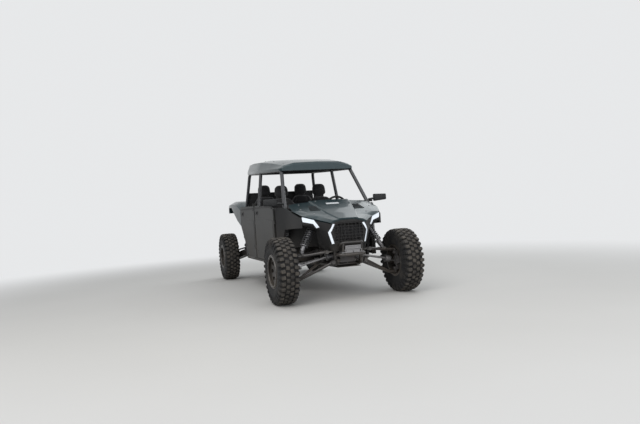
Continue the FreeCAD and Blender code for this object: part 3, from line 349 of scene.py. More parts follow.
def lampGlow(name, tone, power, lensTone):
    paint = Paint(name, Roughness=0.12, Coat_Weight=1.0, Coat_Roughness=0.03)
    paint.use(Emission_Strength=power)
    fluting = paint.noise(70.0, 1.0)
    paint.use(Base_Color=paint.mix(fluting, [c * 0.9 for c in lensTone], lensTone))
    paint.use(Emission_Color=paint.mix(fluting, [c * 0.8 for c in tone], tone))
    paint.bump(fluting, 0.1, 0.0006)
    return paint.material


def wovenSeat(name, dark, light):
    paint = Paint(name, Sheen_Weight=0.25, Specular_IOR_Level=0.4)
    x, y, z = paint.axes()
    warp = (x * 2600.0).calc("SINE") * 0.5 + 0.5
    weft = (z * 2600.0 + y * 1200.0).calc("SINE") * 0.5 + 0.5
    weave = warp * weft
    drift = paint.noise(8.0, 4.0)
    base = paint.mix(drift * 0.6 + weave * 0.4, dark, light)
    paint.use(Base_Color=base, Roughness=0.78 + drift * 0.1)
    paint.bump(weave + drift * 0.4, 0.3, 0.0006)
    return paint.material


def floorPaint(name):
    # a pale floor that fades into the backdrop
    paint = Paint(name, Roughness=0.85)
    paint.use(Base_Color=paint.mix(paint.noise(0.6, 3.0), *backdrop["floor"]))
    paint.bump(paint.noise(40.0, 3.0), 0.05, 0.001)
    x, y, z = paint.axes()
    away = ((x * x + y * y) ** 0.5).ramp(*backdrop["fade"])
    glow = paint.flow("Emission", {"Color": (*backdrop["tone"], 1), "Strength": 1.0})
    output = paint.tree.nodes["Material Output"].inputs["Surface"]
    paint.blend(away * paint.seenDirectly(), Flow(paint, paint.shader.outputs[0]), glow, output)
    return paint.material


def makeWorld():
    world = bpy.data.worlds.new("studio")
    bpy.context.scene.world = world
    world.use_nodes = True
    graph = Graph(world.node_tree)
    ambient = world.node_tree.nodes["Background"]
    ambient.inputs["Color"].default_value = (*backdrop["ambient"], 1)
    ambient.inputs["Strength"].default_value = backdrop["strength"]
    pale = graph.flow("Background", {"Color": (*backdrop["tone"], 1), "Strength": 1.0})
    output = world.node_tree.nodes["World Output"].inputs["Surface"]
    graph.blend(graph.seenDirectly(), Flow(graph, ambient.outputs[0]), pale, output)


plastics = {
    # slot: dark, light, grain, gloss, most dust
    "skid": ((0.020, 0.020, 0.020), (0.034, 0.034, 0.034), 300.0, 0.6, 0.6),
    "tub_plastic": ((0.014, 0.014, 0.015), (0.022, 0.022, 0.024), 500.0, 0.6, 0.35),
    "dash_plastic": ((0.012, 0.012, 0.013), (0.019, 0.019, 0.020), 700.0, 0.55, 0.0),
    "panel_plastic": ((0.010, 0.011, 0.012), (0.017, 0.018, 0.020), 620.0, 0.46, 0.22),
    "door_plastic": ((0.011, 0.012, 0.012), (0.018, 0.019, 0.019), 560.0, 0.46, 0.22),
    "grille_plastic": ((0.008, 0.008, 0.009), (0.014, 0.014, 0.015), 700.0, 0.5, 0.1),
    "grip_rubber": ((0.010, 0.010, 0.010), (0.016, 0.016, 0.016), 900.0, 0.6, 0.0),
}
coatings = {
    # slot: tone, gloss, most dust
    "cage_steel": ((0.020, 0.021, 0.025), 0.32, 0.12),
    "frame_steel": ((0.018, 0.018, 0.020), 0.36, 0.45),
    "arm_steel": ((0.024, 0.024, 0.027), 0.34, 0.45),
    "spring_steel": ((0.035, 0.037, 0.042), 0.25, 0.3),
    "rim_alloy": ((0.012, 0.012, 0.013), 0.3, 0.5),
}
metals = {
    # slot: tone, gloss
    "bare_metal": ((0.26, 0.26, 0.27), 0.36),
    "radiator_alloy": ((0.10, 0.10, 0.11), 0.5),
    "exhaust_steel": ((0.36, 0.33, 0.30), 0.32),
}
lampTones = {
    # slot: glow, power, lens
    "lamp_lens": ((0.86, 0.93, 1.0), 0.9, (0.22, 0.24, 0.27)),
    "tail_lens": ((0.45, 0.01, 0.012), 0.35, (0.30, 0.010, 0.012)),
}
paints = {
    "body_paint": glossPaint("body_paint"),
    "engine_casting": castMetal("engine_casting", (0.13, 0.13, 0.14)),
    "seat_fabric": wovenSeat("seat_fabric", (0.010, 0.010, 0.011), (0.026, 0.026, 0.029)),
}
makers = {satinPlastic: plastics, powderCoat: coatings, bareMetal: metals, lampGlow: lampTones}
for make, table in makers.items():
    for slotName, values in table.items():
        paints[slotName] = make(slotName, *values)
tyrePaint = {end: tyreRubber("tyre_" + end, axle) for end, axle in axles.items()}

# finishes of small pieces that have no slot of their own
webbing = wovenSeat("webbing", (0.012, 0.012, 0.013), (0.030, 0.030, 0.032))
blankPlate = satinPlastic("blank_plate", (0.46, 0.48, 0.50), (0.54, 0.56, 0.58), 300.0, 0.4, 0.5)
darkGlass = satinPlastic("dark_glass", (0.004, 0.004, 0.005), (0.006, 0.006, 0.007), 900.0, 0.08, 0.0)
mirrorGlass = bareMetal("mirror_glass", (0.72, 0.74, 0.76), 0.03, 0.0)
damperAlloy = bareMetal("damper_alloy", (0.17, 0.17, 0.18), 0.34)

for name, item in nodes.items():
    end = "front" if "front" in name else "rear"
    item.data.materials.clear()
    item.data.materials.append(tyrePaint[end] if slotOf[name] == "tyre" else paints[slotOf[name]])


# tools for the pieces

def finished(name, slotName, shape, *replaced, body="chassis", material=None, sharp=38):
    # a bmesh becomes a piece that rides a body and takes a slot's finish
    for edge in shape.edges:
        edge.smooth = len(edge.link_faces) == 2 and edge.calc_face_angle(0) < math.radians(sharp)
    for face in shape.faces:
        face.smooth = True
    data = bpy.data.meshes.new(name)
    shape.to_mesh(data)
    shape.free()
    item = bpy.data.objects.new(name, data)
    collection.objects.link(item)
    data.materials.append(material or paints[slotName])
    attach(item, body)
    if replaced:
        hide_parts(*replaced)
    return item


def spread(shape, part, places=(Matrix.Identity(4),)):
    # copies of a part at several places inside one piece
    store = bpy.data.meshes.new("store")
    part.to_mesh(store)
    part.free()
    for place in places:
        store.transform(place)
        shape.from_mesh(store)
        store.transform(place.inverted())
    bpy.data.meshes.remove(store)


def moved(part, place):
    bmesh.ops.transform(part, matrix=place, verts=part.verts)
    return part


def roundOff(part, edges, width, segments=1):
    bmesh.ops.bevel(part, geom=edges, offset=width, segments=segments, profile=0.5,
                    affect="EDGES", material=-1)


def block(low, high, edge=0.003, segments=1):
    part = bmesh.new()
    low, high = Vector(map(min, low, high)), Vector(map(max, low, high))
    place = Matrix.Translation((low + high) / 2) @ Matrix.Diagonal((*(high - low), 1))
    bmesh.ops.create_cube(part, size=1.0, matrix=place)
    roundOff(part, list(part.edges), edge, segments)
    return part


def slab(sides, backs, heights, edge=0.003, segments=1):
    # a block by its span across, behind the front axle and above the ground
    return block(at(sides[0], backs[0], heights[0]), at(sides[1], backs[1], heights[1]), edge, segments)


def about(middle, half):
    return middle - half, middle + half


def shifted(start, steps):
    return tuple(start + step for step in steps)


def bar(start, end, radius, sides=16, edge=0.0012):
    part = bmesh.new()
    start, end = Vector(start), Vector(end)
    way = end - start
    place = Matrix.Translation((start + end) / 2) @ way.to_track_quat("Z", "Y").to_matrix().to_4x4()
    bmesh.ops.create_cone(part, cap_ends=True, segments=sides,
                          radius1=radius, radius2=radius, depth=way.length)
    roundOff(part, [e for e in part.edges if any(len(f.verts) > 4 for f in e.link_faces)], edge)
    return moved(part, place)


def bolt(radius, height):
    # hexagon head on a washer, standing along +Z at the origin
    part = bar((0, 0, -0.001), (0, 0, 0.0018), radius * 1.35, 14, 0.0005)
    spread(part, bar((0, 0, 0.0018), (0, 0, height), radius, 6, 0.0008))
    return part


def turned(outline, steps):
    # a closed section (side, radius) spun a full turn about X
    part = bmesh.new()
    ring = [part.verts.new((x, 0, r)) for x, r in outline]
    edges = [part.edges.new(pair) for pair in zip(ring, ring[1:] + ring[:1])]
    bmesh.ops.spin(part, geom=ring + edges, cent=(0, 0, 0), axis=(1, 0, 0),
                   angle=math.tau, steps=steps, use_merge=True)
    bmesh.ops.remove_doubles(part, verts=part.verts, dist=0.00002)
    bmesh.ops.recalc_face_normals(part, faces=part.faces)
    return part


def swung(part, angle, axis):
    bmesh.ops.rotate(part, verts=part.verts, cent=(0, 0, 0), matrix=Matrix.Rotation(angle, 3, axis))
    return part


def mirrored(part, hand):
    # the part as built for the left hand, its mirror image for the right
    if hand < 0:
        bmesh.ops.scale(part, vec=(-1, 1, 1), verts=part.verts)
        bmesh.ops.reverse_faces(part, faces=part.faces)
    return part


def standing(place, way):
    # +Z at the origin goes to a place and points along a way
    return Matrix.Translation(place) @ Vector(way).to_track_quat("Z", "Y").to_matrix().to_4x4()


def around(count, axis):
    return [Matrix.Rotation(math.tau * n / count, 4, axis) for n in range(count)]


def softened(nodeName, width, angle):
    # a CAD panel with its edges rounded as moulded plastic has them
    part = bmesh.new()
    part.from_mesh(nodes[nodeName].data)
    bmesh.ops.remove_doubles(part, verts=part.verts, dist=0.0001)
    bmesh.ops.dissolve_limit(part, angle_limit=math.radians(0.6), verts=part.verts, edges=part.edges)
    item = finished(nodeName + "_panel", slotOf[nodeName], part, nodeName,
                    body=bodyOf[nodeName], sharp=angle)
    edges = item.modifiers.new("edges", "BEVEL")
    edges.width = width
    edges.segments = 2
    edges.limit_method = "ANGLE"
    edges.angle_limit = math.radians(angle)
    edges.harden_normals = True


print("stage: tyres and wheels")

tyreForm = {
    "steps": 72, "lugs": 34, "tip": 0.4058, "lugLength": 0.043, "lugEdge": 0.0035,
    # beyond the shoulder the outer blocks' tops fall away
    "shoulder": 0.085, "top": 0.39, "fall": 0.32,
    # how far the side blocks reach out, and the pull above their bend
    "wall": 0.1262, "bend": 0.36, "pull": 0.955,
    "turn": 0.9, "turnMore": {"front": 0, "rear": 0.4},
}
tyreSection = [
    # from the bead to the middle of the tread: side, radius
    (0.096, 0.1965), (0.11, 0.204), (0.113, 0.216), (0.1205, 0.246), (0.1232, 0.292), (0.1195, 0.332),
    (0.108, 0.364), (0.084, 0.381), (0.042, 0.3885), (0.0, 0.3905),
]
tyreInside = [(-0.08, 0.2), (-0.082, 0.35), (0.082, 0.35), (0.08, 0.2)]
treadRows = [
    # inner side, outer side, foot, phase, skew
    (0.004, 0.047, 0.38, 0.0, 9),
    (0.057, 0.106, 0.368, 0.5, -7),
]
wallRows = [
    # inner side, share of the lug's length, foot, top, edge
    (0.1, 0.78, 0.334, 0.392, 0.005),
    (0.112, 0.4, 0.292, 0.33, 0.003),
]
beadLock = {
    "bolts": 16, "circle": 0.1865, "seat": 0.118, "bolt": (0.0062, 0.0085), "steps": 72,
    "outline": [
        (0.104, 0.174), (0.112, 0.171), (0.121, 0.176), (0.1232, 0.186),
        (0.121, 0.197), (0.112, 0.2015), (0.104, 0.199),
    ],
}


def wallBlocks(shape, hand, half, turns):
    for inner, share, foot, top, edge in wallRows:
        outer = hand * tyreForm["wall"]
        part = block((hand * inner, -half * share, foot), (outer, half * share, top), edge)
        for vert in part.verts:
            if vert.co.z > tyreForm["bend"]:
                vert.co.x *= tyreForm["pull"]
        spread(shape, part, turns)


def tyreMesh():
    outline = tyreSection + [(-x, r) for x, r in reversed(tyreSection[:-1])] + tyreInside
    shape = turned(outline, tyreForm["steps"])
    half = tyreForm["lugLength"] / 2
    pitch = math.tau / tyreForm["lugs"]
    for hand in hands.values():
        for inner, outer, foot, phase, skew in treadRows:
            if hand < 0:
                phase = 0.5 - phase
            turns = [Matrix.Rotation((n + phase) * pitch, 4, "X") for n in range(tyreForm["lugs"])]
            top = (hand * outer, half, tyreForm["tip"])
            lug = block((hand * inner, -half, foot), top, tyreForm["lugEdge"])
            middle = (hand * (inner + outer) / 2, 0, 0)
            skewed = Matrix.Rotation(math.radians(skew * hand), 3, "Z")
            bmesh.ops.rotate(lug, verts=lug.verts, cent=middle, matrix=skewed)
            if outer > tyreForm["shoulder"]:
                for vert in lug.verts:
                    if abs(vert.co.x) > tyreForm["shoulder"] and vert.co.z > tyreForm["top"]:
                        vert.co.z -= (abs(vert.co.x) - tyreForm["shoulder"]) * tyreForm["fall"]
                wallBlocks(shape, hand, half, turns)
            spread(shape, lug, turns)
    return shape


def beadLockMesh(hand):
    ring = turned(beadLock["outline"], beadLock["steps"])
    foot = standing((beadLock["seat"], 0, beadLock["circle"]), (1, 0, 0))
    spread(ring, bolt(*beadLock["bolt"]), [turn @ foot for turn in around(beadLock["bolts"], "X")])
    return mirrored(ring, hand)


for end, axle in axles.items():
    for side, hand in hands.items():
        label = end + "_" + side
        centre = Matrix.Translation((hand * wheelSide, axle, axleHeight))
        turn = Matrix.Rotation(tyreForm["turn"] * hand + tyreForm["turnMore"][end], 4, "X")
        tyre = moved(tyreMesh(), centre @ turn)
        finished("tyre_%s_tread" % label, "tyre", tyre, "tyre_" + label,
                 body="wheel_" + label, material=tyrePaint[end], sharp=45)
        ring = moved(beadLockMesh(hand), centre)
        finished("beadlock_" + label, "rim_alloy", ring, body="wheel_" + label)


print("stage: dampers")

damper = {
    "wire": 0.0068, "wireSides": 8, "coil": 0.0445, "turns": 9, "steps": 22,
    "seat": 0.052, "seatHigh": 0.016, "head": 0.092, "eye": 0.02, "eyeHalf": 0.022,
    "adjusters": 6, "adjusterStep": 0.016,
}
damperRows = [
    # foot and head on the left: side, back, height
    ((0.54, 0, 0.6115), (0.318, 0.08, 1.0)),
    ((0.56, 3.24, 0.5), (0.44, 3.07, 0.94)),
]


def coilSpring(length):
    part = bmesh.new()
    stand = Matrix.Translation((damper["coil"], 0, 0)) @ Matrix.Rotation(math.pi / 2, 4, "X")
    bmesh.ops.create_circle(part, segments=damper["wireSides"], radius=damper["wire"], matrix=stand)
    turns = damper["turns"]
    count = damper["steps"] * turns
    bmesh.ops.spin(part, geom=list(part.verts) + list(part.edges), cent=(0, 0, 0), axis=(0, 0, 1),
                   dvec=(0, 0, length / count), angle=math.tau * turns, steps=count)
    bmesh.ops.holes_fill(part, edges=[e for e in part.edges if e.is_boundary], sides=0)
    bmesh.ops.recalc_face_normals(part, faces=part.faces)
    return part


def collar(low, high, radius, hole=0.0):
    inner, edge = hole + 0.0005, 0.002
    outline = [(low, inner), (low, radius - edge), (low + edge, radius),
               (high - edge, radius), (high, radius - edge), (high, inner)]
    return swung(turned(outline, 32), -math.pi / 2, "Y")


def damperShape(low, high):
    total = (high - low).length
    first, last = total * 0.2, total - damper["head"]
    collars = [
        # body, lower spring seat, rod, cylinder, upper spring seat, neck
        (0.01, first - 0.012, 0.03), (first - 0.012, first, damper["seat"]),
        (first, total * 0.42, 0.013), (total * 0.4, last, 0.031),
        (last, last + damper["seatHigh"], damper["seat"]),
        (last + damper["seatHigh"], total - 0.012, 0.025),
    ]
    for n in range(damper["adjusters"]):
        foot = total * 0.46 + damper["adjusterStep"] * n
        collars.append((foot, foot + 0.006, 0.0335, 0.02))
    shape = bmesh.new()
    for row in collars:
        spread(shape, collar(*row))
    spring = coilSpring(last - first - 2 * damper["wire"])
    bmesh.ops.translate(spring, verts=spring.verts, vec=(0, 0, first + damper["wire"]))
    place = standing(low, high - low)
    for part in (shape, spring):
        moved(part, place)
    half = Vector((0, damper["eyeHalf"], 0))
    for end in (low, high):
        spread(shape, bar(end - half, end + half, damper["eye"], 20))
    return shape, spring


dampers, springs = bmesh.new(), bmesh.new()
for hand in hands.values():
    for low, high in damperRows:
        ends = [at(hand * side, back, height) for side, back, height in (low, high)]
        for whole, part in zip((dampers, springs), damperShape(*ends)):
            spread(whole, part)
finished("damper_bodies", "bare_metal", dampers, "shocks", material=damperAlloy, sharp=30)
finished("coil_springs", "spring_steel", springs, sharp=60)


print("stage: seats")

padForm = {
    "grid": (18, 34), "rim": 0.32, "under": 0.125, "groove": 0.007, "grooveHalf": 0.045,
    "bolsterFrom": 0.5, "bolsterTo": 0.8, "channelTo": 0.62, "seam": 0.56, "seamHalf": 0.05,
}
pads = {
    "cushion": {"width": 0.462, "length": 0.435, "thick": 0.088, "bolster": 0.034, "channels": 4},
    "rest": {"width": 0.455, "thick": 0.078, "bolster": 0.034, "channels": 5, "taper": 0.06},
    "shoulder": {"width": 0.4, "length": 0.15, "thick": 0.072, "bolster": 0.012, "taper": 0.3,
                 "crown": 3, "corner": 0.5},
    "head": {"width": 0.22, "length": 0.185, "thick": 0.074, "channels": 1, "taper": 0.1,
             "crown": 2.3, "corner": 0.75},
}
seatForm = {
    # the back rest starts this far above the seat's base and ends this far below its top
    "restFoot": 0.115, "restHead": 0.345, "restMore": 0.03, "lean": 0.075,
    "restBack": -0.022, "hullBack": -0.018,
    # how far back, how far from the base or the top, and the lean
    "cushion": (-0.3, 0.078, -7.5), "shoulder": (0.03, -0.275, 84), "head": (0.075, -0.095, 83),
    "neck": (0.066, -0.16, 84), "lap": (-0.15, 0.171, 20),
}
seatShell = {
    # half width, backs, heights, edge
    "pan": (0.205, (-0.5, -0.07), (0.03, 0.072), 0.012, 2),
    "rail": (0.018, (-0.46, -0.12), (0, 0.034), 0.004), "railSide": 0.15,
    "hull": {"half": 0.225, "below": 0.04, "above": 0.05, "faces": (-0.022, 0.004), "edge": 0.01},
    "neck": ((-0.078, -0.17, -0.018), (0.078, 0.135, 0.006), 0.009, 2),
}
harness = {
    # low and high corners, edge
    "side": 0.068, "lap": ((-0.2, -0.024, 0.0), (0.2, 0.024, 0.0026), 0.0008),
    "buckle": ((-0.035, -0.03, 0.001), (0.035, 0.03, 0.014), 0.004, 2),
    # half width, faces, edge
    "web": (0.022, (0.0775, 0.08), 0.0008), "webFoot": 0.03, "webHead": 0.005,
    "pull": (0.027, (0.0765, 0.085), 0.002), "pullSpan": (0.16, 0.2),
}
seatRows = [
    # name, side, back, base, top
    ("front_left", 0.3, 1.56, 0.62, 1.53),
    ("front_right", -0.3, 1.56, 0.62, 1.53),
    ("rear_left", 0.318, 2.56, 0.68, 1.6),
    ("rear_right", -0.318, 2.56, 0.68, 1.6),
]


def smoothStep(value, low, high):
    share = min(max((value - low) / (high - low), 0), 1)
    return share * share * (3 - 2 * share)


def bell(value, half):
    return math.exp(-(value / half) ** 2)


def tucked(share, corner):
    # how far one side draws in towards the corners of the other
    return 1 - corner * (1 - (1 - share ** 4 / 2) ** 0.5)


def pad(width, length, thick, bolster=0.0, channels=0, taper=0.0, crown=4.2, corner=0.3):
    # a crowned pad: corners drawn in, bolsters along both edges, sewn channels across
    part = bmesh.new()
    across, along = padForm["grid"]
    bmesh.ops.create_grid(part, x_segments=across, y_segments=along, size=1.0)
    reach = max(v.co.x for v in part.verts)
    raised = bmesh.ops.extrude_face_region(part, geom=list(part.faces))
    for vert in raised["geom"]:
        if isinstance(vert, bmesh.types.BMVert):
            vert.co.z = 1.0
    seams = [-1 + 2 * n / (channels + 1) for n in range(1, channels + 1)]
    rim, groove = padForm["rim"], padForm["groove"]
    for vert in part.verts:
        u, v, upper = vert.co.x / reach, vert.co.y / reach, vert.co.z > 0.5
        swell = ((1 - abs(u) ** crown) * (1 - abs(v) ** crown)) ** 0.5
        half = width / 2 * (1 - taper * (v + 1) / 2)
        if upper:
            edge = smoothStep(abs(u), padForm["bolsterFrom"], padForm["bolsterTo"])
            rise = thick * (rim + (1 - rim) * swell) + bolster * edge * (1 - abs(v) ** 6)
            inside = 1 - smoothStep(abs(u), padForm["bolsterFrom"], padForm["channelTo"])
            for seam in seams:
                rise -= groove * inside * bell(v - seam, padForm["grooveHalf"])
            if bolster:
                rise -= groove * 0.9 * bell(abs(u) - padForm["seam"], padForm["seamHalf"])
        else:
            rise = thick * padForm["under"] * (1 - swell)
        pulled = 1 - (1 - tucked(u, corner)) * half * 2 / length
        vert.co = Vector((u * half * tucked(v, corner), v * length / 2 * pulled, rise))
    bmesh.ops.recalc_face_normals(part, faces=part.faces)
    return part


def seatPlace(side, back, height, lean):
    # 0 lies flat with its length to the rear, 90 stands up
    return Matrix.Translation(at(side, back, height)) @ Matrix.Rotation(math.radians(lean), 4, "X")


def seatRow(key, side, back, level):
    more, rise, lean = seatForm[key]
    return seatPlace(side, back + more, level + rise, lean)


def flat(foot, head, side, half, faces, edge, segments=1):
    # a strap or a shell that lies along the back rest
    low, high = about(side, half)
    return block((low, foot, faces[0]), (high, head, faces[1]), edge, segments)


for label, side, back, base, top in seatRows:
    restLow, restHigh = base + seatForm["restFoot"], top - seatForm["restHead"]
    tall = restHigh - restLow
    lean = 90 - math.degrees(math.atan2(seatForm["lean"], tall))
    middle = (restLow + restHigh) / 2
    foot, head = -tall / 2, tall / 2
    restPlace = seatPlace(side, back + seatForm["restBack"], middle, lean)
    cushions = moved(pad(**pads["cushion"]), seatRow("cushion", side, back, base))
    spread(cushions, pad(length=tall + seatForm["restMore"], **pads["rest"]), [restPlace])
    for key in ("shoulder", "head"):
        spread(cushions, pad(**pads[key]), [seatRow(key, side, back, top)])
    item = finished("seat_pads_" + label, "seat_fabric", cushions, "seat_" + label, sharp=80)
    soft = item.modifiers.new("soft", "SUBSURF")
    soft.levels = 1
    soft.render_levels = 1

    # pan, back shell, neck and the two rails under the seat
    half, backs, heights, *edge = seatShell["pan"]
    shell = slab(about(side, half), shifted(back, backs), shifted(base, heights), *edge)
    form = seatShell["hull"]
    hull = flat(foot - form["below"], head + form["above"], 0, form["half"], form["faces"], form["edge"], 2)
    spread(shell, hull, [seatPlace(side, back + seatForm["hullBack"], middle, lean)])
    spread(shell, block(*seatShell["neck"]), [seatRow("neck", side, back, top)])
    half, backs, heights, *edge = seatShell["rail"]
    for rail in about(side, seatShell["railSide"]):
        spread(shell, slab(about(rail, half), shifted(back, backs), shifted(base, heights), *edge))
    finished("seat_shell_" + label, "dash_plastic", shell)

    # shoulder straps with their adjusters, lap strap and buckle
    belt = bmesh.new()
    for strap in about(0, harness["side"]):
        web = flat(foot + harness["webFoot"], head + harness["webHead"], strap, *harness["web"])
        pull = flat(*shifted(foot, harness["pullSpan"]), strap, *harness["pull"])
        for part in (web, pull):
            spread(belt, part, [restPlace])
    for key in ("lap", "buckle"):
        spread(belt, block(*harness[key]), [seatRow("lap", side, back, base)])
    finished("harness_" + label, "grip_rubber", belt, material=webbing)


print("stage: body panels")

panelEdges = [
    # node, edge radius, angle that counts as an edge
    ("roof_panel", 0.01, 28), ("hood", 0.005, 24), ("rear_fenders", 0.006, 30),
    ("front_fascia", 0.004, 34), ("front_fenders", 0.005, 30), ("dashboard", 0.012, 30),
    ("cargo_bed", 0.006, 30), ("door_front_left", 0.006, 34), ("door_front_right", 0.006, 34),
    ("door_rear_left", 0.006, 34), ("door_rear_right", 0.006, 34), ("floor_tub", 0.005, 34),
]
plate = {
    "side": -0.009, "back": 0.235, "edge": 0.0015,
    "low": (-0.086, -0.028, 0.001), "high": (0.086, 0.028, 0.0045),
}
vent = {
    "fins": 5, "side": 0.3, "first": 0.085, "step": 0.034, "half": 0.07, "taper": 0.005, "tilt": -24,
    "depth": 0.006, "low": -0.004, "high": 0.006, "edge": 0.002,
}
stud = {
    "hood": ((0.44, 0.33), (0.47, 0.16), (0.2, 0.36), (0.35, -0.02)), "radius": 0.011,
    "roofSide": 0.43, "roof": (0.95, 1.45, 1.95, 2.45), "bolt": (0.007, 0.0055),
}

for row in panelEdges:
    softened(*row)


def surfaceOf(nodeName):
    data = nodes[nodeName].data
    corners = [v.co.copy() for v in data.vertices]
    return BVHTree.FromPolygons(corners, [tuple(p.vertices) for p in data.polygons])


def dropOn(tree, side, back):
    # stands a part on the surface under a place, the way that the surface faces there
    foot, normal, index, gap = tree.ray_cast(at(side, back, 2.4), Vector((0, 0, -1)))
    return standing(foot, normal if normal.z > 0 else -normal)


roofTree, hoodTree = surfaceOf("roof_panel"), surfaceOf("hood")

shape = block(plate["low"], plate["high"], plate["edge"])
moved(shape, dropOn(hoodTree, plate["side"], plate["back"]))
finished("hood_plate", "panel_plastic", shape, material=blankPlate)

vents = bmesh.new()
for hand in hands.values():
    for n in range(vent["fins"]):
        half, depth = vent["half"] - vent["taper"] * n, vent["depth"]
        fin = block((-half, -depth, vent["low"]), (half, depth, vent["high"]), vent["edge"])
        place = dropOn(hoodTree, hand * vent["side"], vent["first"] + vent["step"] * n)
        spread(vents, swung(fin, math.radians(vent["tilt"]), "X"), [place])
finished("hood_vents", "grille_plastic", vents)

# quarter-turn studs round the hood, bolts along the roof
studs = bmesh.new()
for hand in hands.values():
    for side, back in stud["hood"]:
        cap = bar((0, 0, -0.002), (0, 0, 0.0035), stud["radius"], 20)
        spread(cap, block((-0.007, -0.0012, 0.003), (0.007, 0.0012, 0.0045), 0.0004))
        spread(studs, cap, [dropOn(hoodTree, hand * side, back)])
    for back in stud["roof"]:
        spread(studs, bolt(*stud["bolt"]), [dropOn(roofTree, hand * stud["roofSide"], back)])
finished("panel_studs", "bare_metal", studs)


print("stage: cab")

dashRows = [
    # sides, backs, heights, edge, segments: lid, its latch, surround of the screen
    ((-0.5, -0.16), (0.655, 0.668), (0.995, 1.115), 0.005, 2),
    ((-0.37, -0.29), (0.667, 0.674), (1.085, 1.1), 0.002, 1),
    ((-0.075, 0.075), (0.655, 0.676), (1.045, 1.165), 0.006, 2),
]
switches = {"count": 6, "first": -0.0675, "step": 0.0235, "wide": 0.018}
airVent = {
    "outline": [(-0.004, 0.026), (0.007, 0.028), (0.007, 0.034), (-0.004, 0.036)], "steps": 28,
    "vanes": (-0.014, -0.007, 0, 0.007, 0.014),
    "places": ((0.525, 0.664, 1.13), (-0.125, 0.664, 1.15)),
}
grabBar = {
    "sides": (-0.46, -0.2), "back": 0.7, "height": 1.135, "radius": 0.013,
    "stays": (-0.45, -0.21), "stayRadius": 0.01,
}

trim = slab(*dashRows[0])
for row in dashRows[1:]:
    spread(trim, slab(*row))
for n in range(switches["count"]):
    side = switches["first"] + switches["step"] * n
    spread(trim, slab((side, side + switches["wide"]), (0.657, 0.671), (1.0, 1.03), 0.002))
for hand in hands.values():
    ring = turned(airVent["outline"], airVent["steps"])
    vane = block((-0.002, -0.026, -0.0012), (0.005, 0.026, 0.0012), 0.0006)
    spread(ring, vane, [Matrix.Translation((0, 0, z)) for z in airVent["vanes"]])
    places = [at(hand * side, back, height) for side, back, height in airVent["places"]]
    spread(trim, swung(ring, math.pi / 2, "Z"), [Matrix.Translation(place) for place in places])
finished("dash_trim", "dash_plastic", trim)

screen = slab((-0.065, 0.065), (0.6755, 0.6775), (1.056, 1.154), 0.0008)
finished("dash_screen", "dash_plastic", screen, material=darkGlass)

ends = [at(side, grabBar["back"], grabBar["height"]) for side in grabBar["sides"]]
grab = bar(*ends, grabBar["radius"], 20)
for side in grabBar["stays"]:
    start, end = at(side, 0.655, 1.15), at(side, 0.702, grabBar["height"])
    spread(grab, bar(start, end, grabBar["stayRadius"]))
finished("grab_bar", "grip_rubber", grab)

mirrorForm = {
    # side, near, far, low, high at the housing's root and tip
    "root": (0.69, 0.452, 0.5, 1.195, 1.295),
    "tip": (0.87, 0.44, 0.47, 1.21, 1.29),
    "edge": 0.012, "margin": 0.015, "glass": 0.0015, "glassEdge": 0.0004, "glassEnds": (0.09, 0.91),
    "stay": ((0.606, 0.45, 1.225), (0.7, 0.47, 1.235)), "stayRadius": 0.014,
}


def tapered(root, tip, edge, segments, hand):
    # a block that narrows from its root to its tip
    part = bmesh.new()
    bmesh.ops.create_cube(part, size=2.0)
    for vert in part.verts:
        side, near, far, low, high = root if vert.co.x < 0 else tip
        vert.co = at(side, near if vert.co.y < 0 else far, low if vert.co.z < 0 else high)
    roundOff(part, list(part.edges), edge, segments)
    return mirrored(part, hand)


def glassEnd(share):
    # the glass lies on the housing's slanting rear face
    ends = zip(mirrorForm["root"], mirrorForm["tip"])
    side, near, far, low, high = (a + (b - a) * share for a, b in ends)
    margin = mirrorForm["margin"]
    return side, far - 0.001, far + mirrorForm["glass"], low + margin, high - margin


housings = bmesh.new()
for label, hand in hands.items():
    spread(housings, tapered(mirrorForm["root"], mirrorForm["tip"], mirrorForm["edge"], 3, hand))
    start, end = (at(hand * side, back, height) for side, back, height in mirrorForm["stay"])
    spread(housings, bar(start, end, mirrorForm["stayRadius"], 24))
    near, far = (glassEnd(share) for share in mirrorForm["glassEnds"])
    glass = tapered(near, far, mirrorForm["glassEdge"], 1, hand)
    finished("mirror_glass_" + label, "bare_metal", glass, material=mirrorGlass)
finished("mirror_housings", slotOf["side_mirrors"], housings, "side_mirrors", sharp=60)

# doors: latch handle on its plate, studs, pressed skin, belt strip and inner pull
doorForm = {
    "face": 0.722, "skin": (0.003, 0.0035), "skinIn": 0.04, "skinTop": 1.02, "skinRise": 0.045,
    "skinEdge": 0.003, "stud": (0.0065, 0.005), "studSeat": 0.003,
    # the top stud's distance from the front edge and its height, the others' from the skin's corners
    "studTop": (0.05, 1.18), "studIn": 0.03, "studUp": 0.04,
}
doorFittings = {
    # depth inside the face, height off it, span from the edges, heights, edge
    "handle": (0.002, 0.014, (-0.15, -0.04), (1.122, 1.15), 0.005),
    "plate": (0.002, 0.0035, (-0.168, -0.022), (1.104, 1.168), 0.0016),
    "strip": (0.003, 0.0045, (0.02, -0.02), (1.196, 1.222), 0.0022),
    "pull": (0.075, -0.045, (0.3, 0.48), (1.05, 1.074), 0.006),
}
doorRows = [
    # row, near, far, the skin's low edge, its gap to the rear edge
    ("front", 0.575, 1.625, 0.545, 0.06),
    ("rear", 1.7, 2.64, 0.6, 0.33),
]


def sideBlock(hand, depth, out, backs, heights, edge):
    # a block from a depth inside the door's outer face to a height outside it
    face = hand * doorForm["face"]
    return slab((face - hand * depth, face + hand * out), backs, heights, edge)


def fitting(key, hand, start, end):
    depth, out, backs, heights, edge = doorFittings[key]
    return sideBlock(hand, depth, out, (start + backs[0], end + backs[1]), heights, edge)


